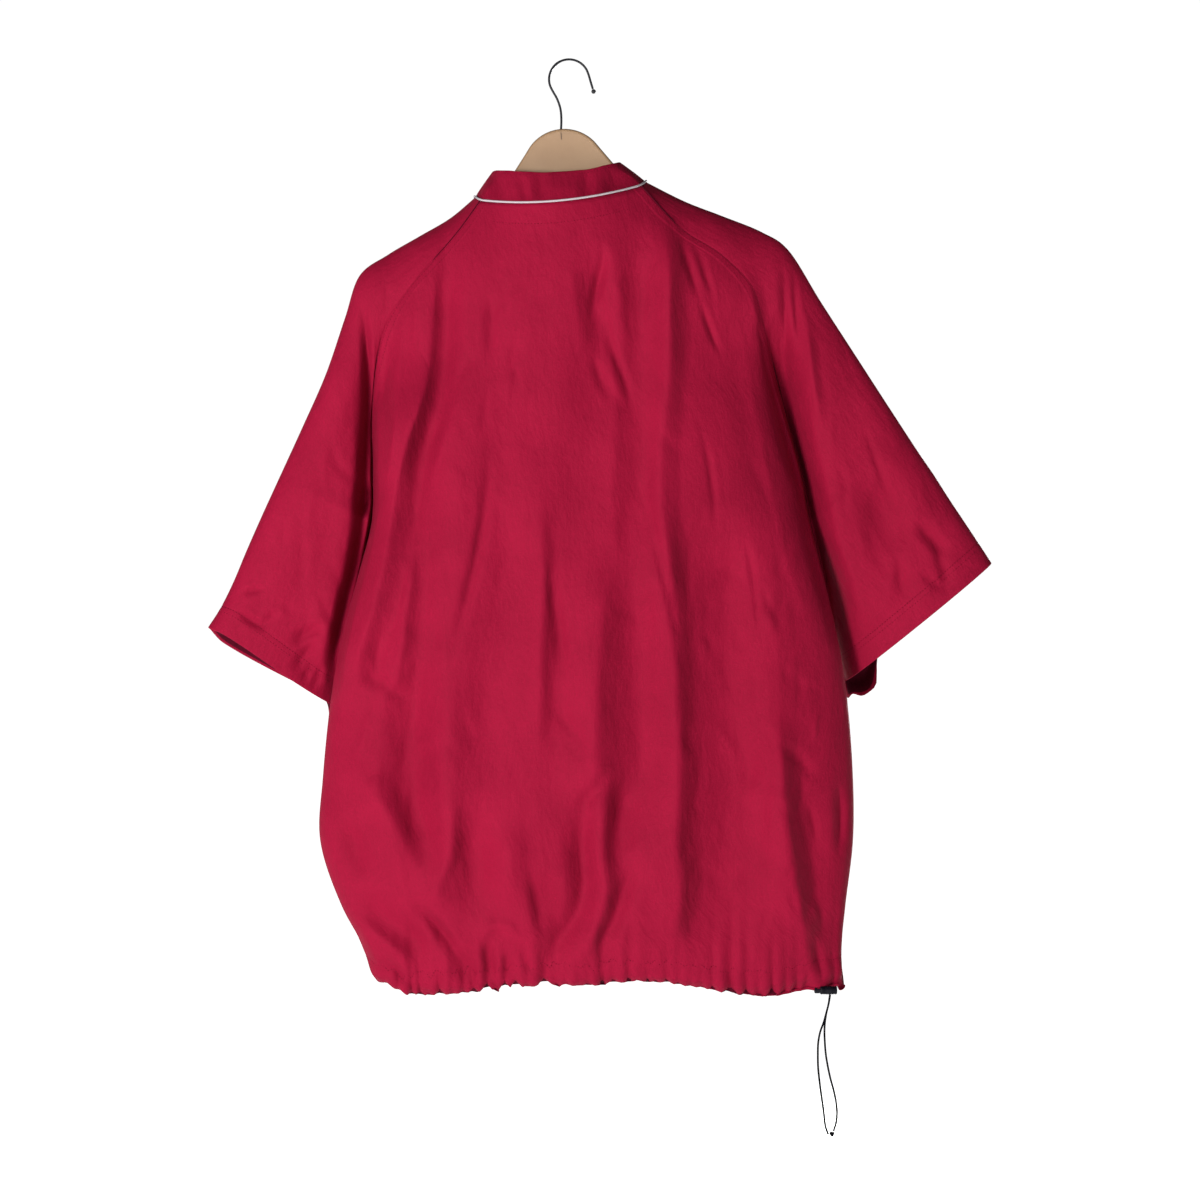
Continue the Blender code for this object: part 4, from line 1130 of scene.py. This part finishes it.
def wood_material():
    """Pale varnished wood: long grain along the arms, faint stains, painted shade on the rounded edges and
    a crack.
    """
    look = new_look("hanger_wood", 0.42, 0.45)
    source = look.place()
    grain = look.noise(source, 1.0, 5.0, 0.6, (14, 14, 260))
    fine = look.noise(source, 1.0, 3.0, 0.6, (60, 60, 1400))
    stain = look.noise(source, 38.0, 3.0, 0.6)
    light = look.mix(look.range(grain, 0.35, 0.65), WOOD_MIDDLE, WOOD_PALE)
    light = look.mix(look.range(fine, 0.3, 0.7, 0.0, 0.25), light, WOOD_GRAIN)
    light = look.mix(look.range(stain, 0.62, 0.72, 0.0, 0.35), light, WOOD_STAIN)
    # Painted shade: darker where the surface turns away from the flat faces, on the rounded edges.
    normal = look.split(look.add("NewGeometry", {})["Normal"])
    facing = look.maths("ABSOLUTE", normal["Y"])
    light = look.mix(look.range(facing, 0.45, 0.85, 0.75, 0.0), light, WOOD_EDGE_SHADE)
    spot = look.split(source)
    beside = look.maths("ABSOLUTE", look.maths("SUBTRACT", spot["X"], CRACK_X * MM))
    along = look.maths("ABSOLUTE", look.maths("SUBTRACT", spot["Y"], CRACK_Y * MM))
    narrow = look.range(beside, 0.0003, 0.0008, 0.85, 0.0)
    short = look.range(along, 0.6 * CRACK_HALF_LENGTH * MM, CRACK_HALF_LENGTH * MM, 1.0, 0.0)
    look.set(Base_Color=look.mix(look.maths("MULTIPLY", narrow, short), light, WOOD_CRACK))
    look.set(Coat_Weight=0.25, Coat_Roughness=0.3)
    look.bump(fine, 0.12, 0.0004)
    return look.owner


def dark_material(name, low, high, roughness, scale, bump, specular):
    """Black satin finish with faint uneven wear."""
    look = new_look(name, roughness, specular)
    tone = look.noise(look.place(), scale, 4.0, 0.65)
    look.set(Base_Color=look.mix(tone, low, high))
    look.set(Roughness=look.range(tone, 0.3, 0.7, roughness - 0.08, roughness + 0.12))
    look.bump(tone, bump, 0.0003)
    return look.owner


def cord_material():
    """Braided black cord."""
    look = new_look("black_cord", 0.8, 0.05)
    source = look.place()
    waves = []
    for tilt in (0.7, -0.7):
        tilted = look.add("Mapping", {"Vector": source, "Rotation": (0.0, tilt, 0.3)})["Vector"]
        waves.append(look.wave(tilted, "Z", 330.0, 0.5))
    braid = look.maths("MULTIPLY", *waves)
    look.set(Base_Color=look.mix(braid, (0.001, 0.001, 0.002), (0.005, 0.005, 0.008)))
    look.bump(braid, 0.6, 0.0004)
    return look.owner


# ---------------------------------------------------------------- camera, light and stage
def make_camera():
    data = bpy.data.cameras.new("camera")
    data.sensor_width = SENSOR_WIDTH
    data.lens = CAMERA_LENS
    data.clip_end = 200.0
    camera = bpy.data.objects.new("camera", data)
    camera.location = [value * MM for value in CAMERA_PLACE]
    camera.rotation_euler = (math.pi / 2, 0.0, math.pi)
    bpy.context.scene.collection.objects.link(camera)
    bpy.context.scene.camera = camera


LAMP_SIZE = 0.6
LAMP_TARGET = (0.0, 0.0, -0.55)
LAMPS = {                   # place in metres and power in watts
    "key": ((1.4, 2.5, -0.5), 107.0),
    "front_key": ((-1.15, -2.7, -0.3), 105.0),
}
FLOOR_HALF = 40.0
PAPER_WHITE = 1.02          # what the camera sees behind the garment
WHITE = (1.0, 1.0, 1.0, 1.0)


def area_light(name, place, power):
    data = bpy.data.lights.new(name, "AREA")
    data.shape = "DISK"
    data.size = LAMP_SIZE
    data.energy = power
    lamp = bpy.data.objects.new(name, data)
    lamp.location = place
    way = np.array(LAMP_TARGET) - np.array(place)
    flat = math.hypot(way[0], way[1])
    lamp.rotation_euler = (math.atan2(flat, -way[2]), 0.0, math.atan2(-way[0], way[1]))
    bpy.context.scene.collection.objects.link(lamp)


def make_world():
    """Light that comes mostly from behind the camera and from low down."""
    world = bpy.data.worlds.new("pale")
    bpy.context.scene.world = world
    sky = Nodes(world, "Background")
    way = sky.split(sky.place("Generated"))
    behind = sky.range(way["Y"], -0.93, -0.6, PAPER_WHITE, 0.36)
    above = sky.range(way["Z"], 0.23, 0.45, 1.0, 0.2)
    strength = sky.maths("MULTIPLY", behind, above)
    shown = sky.range(sky.add("LightPath", {})["Is Camera Ray"], 0.0, 1.0, 0.0, PAPER_WHITE)
    sky.set(Color=WHITE, Strength=sky.maths("MAXIMUM", strength, shown))


def make_floor():
    """A wide white floor that glows like the background away from the middle."""
    data = bpy.data.meshes.new("floor")
    signs = ((-1, -1), (1, -1), (1, 1), (-1, 1))
    corners = [(x * FLOOR_HALF, y * FLOOR_HALF, FLOOR_HEIGHT * MM) for x, y in signs]
    data.from_pydata(corners, [], [(0, 1, 2, 3)])
    look = new_look("floor_paint", 0.9, 0.1)
    source = look.place()
    look.set(Base_Color=look.mix(look.noise(source, 6.0), (0.96, 0.96, 0.96), (0.975, 0.975, 0.975)))
    away = look.add("VectorMath", {0: source}, operation="LENGTH")["Value"]
    look.set(Emission_Color=WHITE, Emission_Strength=look.range(away, 1.2, 2.4, 0.12, 0.98))
    add_object("floor", data, look.owner)


def make_stage():
    bpy.context.scene.view_settings.view_transform = "Standard"
    bpy.context.scene.view_settings.look = "None"
    make_world()
    make_floor()
    for name, (place, power) in LAMPS.items():
        area_light(name, place, power)


# ---------------------------------------------------------------- cords
STRANDS = {
    "left": [
        (-246.6, 28.65, -883.65), (-245.2, 28.65, -892.0), (-243.0, 28.65, -900.5),
        (-240.6, 28.7, -909.2), (-237.4, 28.6, -918.0), (-235.5, 28.4, -928.0),
        (-235.1, 28.3, -940.0), (-235.4, 28.2, -952.0), (-236.6, 28.0, -964.0),
        (-238.0, 27.9, -975.0), (-239.6, 27.8, -986.0), (-241.0, 27.7, -997.0),
        (-242.4, 27.6, -1007.5), (-244.95, 27.5, -1015.0),
    ],
    "right": [
        (-246.6, 26.35, -883.65), (-245.4, 26.35, -892.0), (-243.4, 26.35, -900.5),
        (-242.0, 26.35, -909.2), (-241.5, 26.4, -918.0), (-241.8, 26.5, -928.0),
        (-242.8, 26.6, -940.0), (-244.6, 26.7, -951.0), (-247.2, 26.8, -963.0),
        (-250.2, 26.9, -974.0), (-252.4, 27.0, -985.0), (-253.2, 27.2, -995.0),
        (-252.4, 27.4, -1003.5), (-249.9, 27.5, -1011.75),
    ],
}
KNOT_SCALE = 0.56
KNOT_DEPTH = 1.6


def make_cords():
    """A tight overhand knot, and the two strands that end in it."""
    material = cord_material()
    t = np.linspace(0, 2 * math.pi, 72)
    loop = np.stack([np.sin(t) + 2 * np.sin(2 * t), KNOT_DEPTH * np.sin(3 * t),
                     np.cos(t) - 2 * np.cos(2 * t)], axis=-1)
    line = np.array(KNOT_CENTRE) + loop * KNOT_SCALE
    knot = swept("cord_knot", line, np.full(len(line), CORD_RADIUS), 10, material, capped=False)
    stands_for(knot, "drawcord_knot")
    for side, route in STRANDS.items():
        line = smooth_line(route, 60)
        strand = curve_object("cord_" + side, line, material, "3D", CORD_RADIUS, 4)
        strand.data.use_fill_caps = True
        stands_for(strand, "drawcord_" + side)


# ---------------------------------------------------------------- cloth pieces
SEAM_STITCHES = (2.2, 8.2)  # distances of the rows of stitches from a raglan seam
FACING_STITCHES = 20.0      # below the back neck: they hold the facing inside it
FACING_COLUMNS = (44, 203)
CUFF_STITCHES = (CUFF_HEM, CUFF_HEM - 5.0)
COLLAR_STITCHES = 3.2
CHANNEL_SEAM = (0.9, 2.0)   # depth and width of the groove at the channel's upper stitches
CHANNEL_BULGE = (1.8, 10.0)
CHANNEL_TUCK = 3.0          # how far the channel's lower half turns in
CUFF_GROOVE = (0.35, 1.6)
TURN_RADIUS = 0.9
COLLAR_TURN_RADIUS = 1.0
COLLAR_TURN_HEIGHT = 14.0
COLLAR_MIDDLE = (6.0, -6.0, 0.0)
COLLAR_BULGE = 3.0
COLLAR_WRINKLE = 0.22
PIPING_STEP = 0.25          # rows and stations from the neck seam to the line it leans on


def hump(height_and_width, distance):
    height, width = height_and_width
    return height * np.exp(-(distance / width) ** 2)


def make_panel(layer, columns, outward, materials, stitches):
    rows = body_rows()
    underarm = int(np.searchsorted(rows, UNDERARM_ROW))
    grid = stand_back(panel_points(layer, rows, body_across(columns)), [LAST_ROW])
    apart = np.where(rows < UNDERARM_ROW, SIDE_STAND_BACK, SEAM_STAND_BACK)[:, None]
    grid = stand_back(grid, [FIRST_COLUMN, LAST_COLUMN], apart)
    normals = grid_normals(grid, outward)
    ways = [distance_in(grid, 1, from_end) for from_end in (False, True)]
    lapped = (np.arange(len(rows)) >= underarm)[:, None]
    for way in ways:
        relief = np.where(lapped, seam_relief(way, True), seam_relief(way, False))
        grid = grid + normals * relief[..., None]
    channel = distance_in(grid, 0, False)
    roll = -hump(CHANNEL_SEAM, channel - CHANNEL_HEIGHT)
    roll = roll + hump(CHANNEL_BULGE, channel - 0.55 * CHANNEL_HEIGHT)
    roll = roll - CHANNEL_TUCK * ease(1 - channel / (0.5 * CHANNEL_HEIGHT))
    roll = roll * ease(np.minimum(*ways) / SIDE_CALM)
    grid = grid + normals * roll[..., None]
    normals = grid_normals(grid, outward)
    for from_end in (False, True):
        for distance in SEAM_STITCHES:
            seed = int(distance) + len(layer)
            stitches.row(grid, normals, seed, distance, 1, from_end, underarm, len(rows) - 1)
    stitches.row(grid, normals, 40 + len(layer), CHANNEL_HEIGHT, 0, False, 2, columns - 1)
    if layer == "back":
        stitches.row(grid, normals, 77, FACING_STITCHES, 0, True, *FACING_COLUMNS)
    whole = turn_in(grid, normals, TURN_RADIUS, CHANNEL_HEIGHT - 4)
    return grid_object("shell_" + layer, whole, materials, flip=layer == "front")


def make_sleeve(side, outward, materials, stitches):
    stations = sleeve_stations()
    joined = int(np.searchsorted(stations, UNDERARM_STATION))
    points = sleeve_points(side, stations, sleeve_around())
    points[:joined] = stand_back(points, [FIRST_COLUMN, LAST_COLUMN])[:joined]
    way = points[joined + 1, 0] - points[joined, 0]
    points[joined, (0, -1)] += UNDERARM_STAND_BACK * way / np.linalg.norm(way)
    points = stand_back(points, [FIRST_ROW])
    normals = grid_normals(points, outward)
    open_rows = (np.arange(len(stations)) < joined)[:, None]
    for from_end in (False, True):
        relief = np.where(open_rows, seam_relief(distance_in(points, 1, from_end), False), 0.0)
        points = points + normals * relief[..., None]
    cuff = points[::-1]
    normals = grid_normals(points, outward)[::-1]
    for distance in CUFF_STITCHES:
        stitches.row(cuff, normals, 60 + int(distance), distance, 0, False, 0, cuff.shape[1])
    groove = -hump(CUFF_GROOVE, distance_in(cuff, 0, False) - CUFF_HEM)
    cuff = cuff + normals * groove[..., None]
    whole = turn_in(cuff, normals, TURN_RADIUS, CUFF_HEM - 2, closed=True)
    return grid_object("sleeve_shell_" + side, whole, materials, len(whole) - joined, flip=side == "right")


def neck_loop(below):
    """The neck seam as points and turns, from the centre front round to it again.
    Below is how many rows and stations under the seam the loop runs."""
    row, station = np.array([NECK_ROW - below]), np.array([below])
    around = sleeve_around()
    front_s, back_s = body_across(FRONT_COLUMNS), body_across(BODY_COLUMNS)
    front = panel_points("front", row, front_s)[0]
    back = panel_points("back", row, back_s)[0]
    left = sleeve_points("left", station, around)[0]
    right = sleeve_points("right", station, around)[0]
    half = FRONT_COLUMNS // 2
    pieces = [
        (front[half::-1], 1 - 2 * front_s[half::-1]),
        (left[1:], 1 + (around[1:] + 1) / 2),
        (back[1:], 2 + 2 * back_s[1:]),
        (right[-2::-1], 4 + (1 - around[-2::-1]) / 2),
        (front[-2:half - 1:-1], 5 + 2 * (1 - front_s[-2:half - 1:-1])),
    ]
    points, turns = zip(*pieces)
    return np.concatenate(points), np.concatenate(turns)


def collar_points(seam, turns, heights):
    top = np.stack([smooth(COLLAR_TOP["turn"], COLLAR_TOP[a], turns) for a in "xyz"], axis=-1)
    lines = []
    for height in heights:
        line = seam + (top - seam) * height
        outward = line - np.array(COLLAR_MIDDLE)
        outward[:, 2] = 0.0
        lines.append(line + unit(outward) * COLLAR_BULGE * height * (1 - height))
    return np.array(lines)


def make_collar(seam, turns, materials, stitches):
    grid = collar_points(seam, turns, np.linspace(0, 1, COLLAR_ROWS + 1))
    for end in (0, -1):
        grid[0, end] += COLLAR_POINT_STAND_BACK * unit(grid[1, end] - grid[0, end])
    grid = stand_back(grid, [FIRST_ROW, FIRST_COLUMN, LAST_COLUMN], NECK_STAND_BACK)
    normals = grid_normals(grid, -1.0)
    u, v = picture_place(grid)
    relief = fold_field(COLLAR_FOLDS, u, v) * (grid[..., 1] > 0) * ease((v - 160) / 20)
    relief = relief + COLLAR_WRINKLE * crumple(turns[None] * 60 + 0 * v, v, 12, 40, 8)
    grid = (grid + normals * relief[..., None])[::-1]
    normals = grid_normals(grid[::-1], -1.0)[::-1]
    stitches.row(grid, normals, 90, COLLAR_STITCHES, 0, False, 2, grid.shape[1] - 2)
    whole = turn_in(grid, normals, COLLAR_TURN_RADIUS, COLLAR_TURN_HEIGHT)
    return grid_object("collar_shell", whole, materials, flip=True)


def make_piping(seam, turns):
    """The covered cord in the corner that collar and panels make at the neck seam."""
    up = unit(collar_points(seam, turns, [0.3])[0] - seam)
    down = unit(neck_loop(PIPING_STEP)[0] - seam)
    along = unit(np.gradient(seam, axis=0))
    over_collar = unit(np.cross(along, up))
    over_panel = unit(np.cross(down, along))
    out = unit(over_collar + over_panel)
    reach = (PIPING_RADIUS + SMALL_GAP) / np.clip(np.sum(over_collar * out, axis=1), 0.5, 1.0)
    line = (seam + out * reach[:, None])[2:-2]
    keys = lengths_along(line)
    line = averaged(read_along(line, keys, np.linspace(0, keys[-1], 460)), 5, False)
    radii = np.full(len(line), PIPING_RADIUS - 0.15)
    piping = swept("white_piping_cord", line, radii, 12, piping_material())
    stands_for(piping, "collar_piping")


SHEETS = {
    "back": {"node": "back_panel", "flat": (0.64, 0.80), "area": 0.44},
    "front": {"node": "front_panel", "flat": (0.62, 0.78), "area": 0.38},
    "left": {"node": "sleeve_left", "flat": (0.40, 0.52), "area": 0.13},
    "right": {"node": "sleeve_right", "flat": (0.49, 0.53), "area": 0.14},
    "collar": {"node": "collar", "flat": (0.66, 0.10), "area": 0.03},
}


def make_cloth():
    """All sewn pieces, and the rows of stitches on them."""
    # The inside and the turned-in rows get a darker copy of the cloth: painted shade.
    painted_shade_inside = cloth_material("crimson_inside_painted_shade", 9, SHADED_INSIDE_BRIGHT, SHADED_INSIDE_DEEP)
    cloth = {name: (cloth_material("crimson_" + name, i + 1), painted_shade_inside) for i, name in enumerate(SHEETS)}
    stitches = Stitches()
    seam, turns = neck_loop(0.0)
    made = {
        "back": make_panel("back", BODY_COLUMNS, -1.0, cloth["back"], stitches),
        "front": make_panel("front", FRONT_COLUMNS, 1.0, cloth["front"], stitches),
        "left": make_sleeve("left", 1.0, cloth["left"], stitches),
        "right": make_sleeve("right", -1.0, cloth["right"], stitches),
        "collar": make_collar(seam, turns, cloth["collar"], stitches),
    }
    make_piping(seam, turns)
    for name, facts in SHEETS.items():
        stands_for(made[name], facts["node"])
    stands_for(stitches.finish("stitch_rows", thread_material()))


# ---------------------------------------------------------------- hanger
DOME_RADIUS = 40.0
HANGER_NECK = [(34.0, -19.0), (47.0, -36.5), (54.0, -46.0), (64.0, -55.0), (80.0, -65.5), (107.0, -80.0)]
HANGER_SLOPE = -0.486       # of the arms' upper edge
HANGER_TIP = (183.6, -128.6)
HANGER_TIP_RADIUS = 10.0
HANGER_UNDERSIDE = [
    (150.0, -122.0), (120.0, -112.5), (90.0, -104.0), (45.0, -94.0), (20.0, -91.5), (0.0, -91.0),
]


def on_arc(middle, radius, degrees):
    angle = math.radians(degrees)
    return middle[0] + radius * math.cos(angle), middle[1] + radius * math.sin(angle)


def hanger_outline():
    """Half outline of the hanger in its own frame, from the dome top to the bottom middle."""
    points = []
    for degrees in range(0, 54, 3):
        angle = math.radians(degrees)
        points.append((DOME_RADIUS * math.sin(angle), DOME_RADIUS * (math.cos(angle) - 1)))
    points += [tuple(point) for point in smooth_line(HANGER_NECK, 26)[1:]]
    arm_x, arm_z = HANGER_NECK[-1]
    points += [(x, arm_z + HANGER_SLOPE * (x - arm_x)) for x in (128.0, 150.0, 170.0, 184.0)]
    points += [on_arc(HANGER_TIP, HANGER_TIP_RADIUS, degrees) for degrees in range(50, -116, -15)]
    return points + HANGER_UNDERSIDE


def make_hanger():
    half = hanger_outline()
    outline = [(x, z, 0.0) for x, z in half] + [(-x, z, 0.0) for x, z in reversed(half[1:-1])]
    body = curve_object("hanger_wood_body", outline, wood_material(), "2D", HANGER_EDGE_ROUNDING, 5)
    body.data.splines[0].use_cyclic_u = True
    body.data.fill_mode = "BOTH"
    body.data.extrude = (HANGER_THICKNESS / 2 - HANGER_EDGE_ROUNDING) * MM
    body.data.offset = -HANGER_EDGE_ROUNDING * MM
    body.rotation_euler = (math.pi / 2, math.radians(HANGER_TILT_DEGREES), 0.0)
    body.location = (HANGER_TOP[0] * MM, 0.0, HANGER_TOP[1] * MM)
    stands_for(body, "hanger_body")


HOOK_MIDDLE = (-1.0, HOOK_WIRE_RADIUS - HOOK_LOOP_RADIUS)
HOOK_STEM = [(6.6, HANGER_TOP[1] + SMALL_GAP), (6.3, -57.0), (7.4, -45.0), (10.6, -36.0)]
HOOK_END = [(-21.6, -20.5), (-23.6, -27.0)]
CHIPS_PLACE = 0.56          # where along the wire its paint is worn, and how far round that
CHIPS_REACH = 0.045
CHIPS_HEIGHT = 0.22
CAP_DENT = 0.7


def make_hook():
    """The bent wire of the hook, and the bead on its tip."""
    wire = dark_material("hook_wire", (0.003, 0.003, 0.005), (0.012, 0.012, 0.015), 0.45, 400.0, 0.15, 0.18)
    loop = [on_arc(HOOK_MIDDLE, HOOK_LOOP_RADIUS, degrees) for degrees in range(-32, 166, 14)]
    coarse = smooth_line([(x, 0.0, z) for x, z in HOOK_STEM + loop + HOOK_END], 44)
    line = smooth_line(coarse, 220)
    place = np.linspace(0, 1, len(line))
    chips = np.exp(-((place - CHIPS_PLACE) / CHIPS_REACH) ** 2)
    uneven = np.abs(crumple(place * 400, 0 * place, 5, 22, 11))
    radii = HOOK_WIRE_RADIUS * (0.97 + CHIPS_HEIGHT * chips * uneven)
    stands_for(swept("hook_wire_bent", line, radii, 16, wire), "hanger_hook")
    rubber = dark_material("hook_tip", (0.004, 0.004, 0.006), (0.016, 0.016, 0.018), 0.6, 500.0, 0.3, 0.25)
    end = unit(coarse[-1] - coarse[-2])
    middle = coarse[-1] + end * (HOOK_CAP_RADIUS + SMALL_GAP)
    heights = np.linspace(-0.97, 0.86, 13)
    tip_line = middle + end * heights[:, None] * HOOK_CAP_RADIUS
    radii = HOOK_CAP_RADIUS * np.sqrt(1 - heights ** 2)
    tip_line = np.vstack([tip_line, tip_line[-1] - end * CAP_DENT])
    tip = swept("hook_tip_bead", tip_line, np.append(radii, radii[-1] * 0.55), 20, rubber)
    stands_for(tip, "hook_cap")


# ---------------------------------------------------------------- cord lock
LOCK_GROOVES = (-5.6, -4.4, -3.2, 3.2, 4.4, 5.6)
GROOVE_DEPTH = 0.4
LOCK_EDGE = [(0.9, 0.0), (0.35, 0.3), (0.0, 0.9)]   # how far in along and across, to the end face


def make_lock():
    plastic = dark_material(
        "lock_plastic", (0.002, 0.002, 0.004), (0.005, 0.005, 0.009), 0.45, 260.0, 0.12, 0.12)
    half = LOCK_LENGTH / 2
    profile = [(-half, 0.6)]
    profile += [(-half + along, LOCK_RADIUS - across) for along, across in reversed(LOCK_EDGE)]
    for groove in LOCK_GROOVES:
        for along, across in ((-0.35, 0.0), (-0.15, GROOVE_DEPTH), (0.15, GROOVE_DEPTH), (0.35, 0.0)):
            profile.append((groove + along, LOCK_RADIUS - across))
    profile += [(half - along, LOCK_RADIUS - across) for along, across in LOCK_EDGE] + [(half, 3.0)]
    barrel = turned("lock_barrel_ribbed", profile, LOCK_CENTRE, 40, plastic)
    stands_for(barrel, "cord_lock_barrel")
    start = half + SMALL_GAP
    end = start + LOCK_BUTTON_LENGTH
    profile = [(end, 0.5), (end, 1.5), (end - 0.25, 1.7), (end, 2.0), (end - 0.1, 2.3),
               (end - 0.7, LOCK_BUTTON_RADIUS), (start, LOCK_BUTTON_RADIUS), (start, 0.5)]
    button = turned("lock_button", profile, LOCK_CENTRE, 36, plastic)
    stands_for(button, "cord_lock_button")


# ---------------------------------------------------------------- all of it
make_camera()
make_cords()
make_stage()
make_cloth()
make_hanger()
make_hook()
make_lock()

bpy.context.view_layer.update()
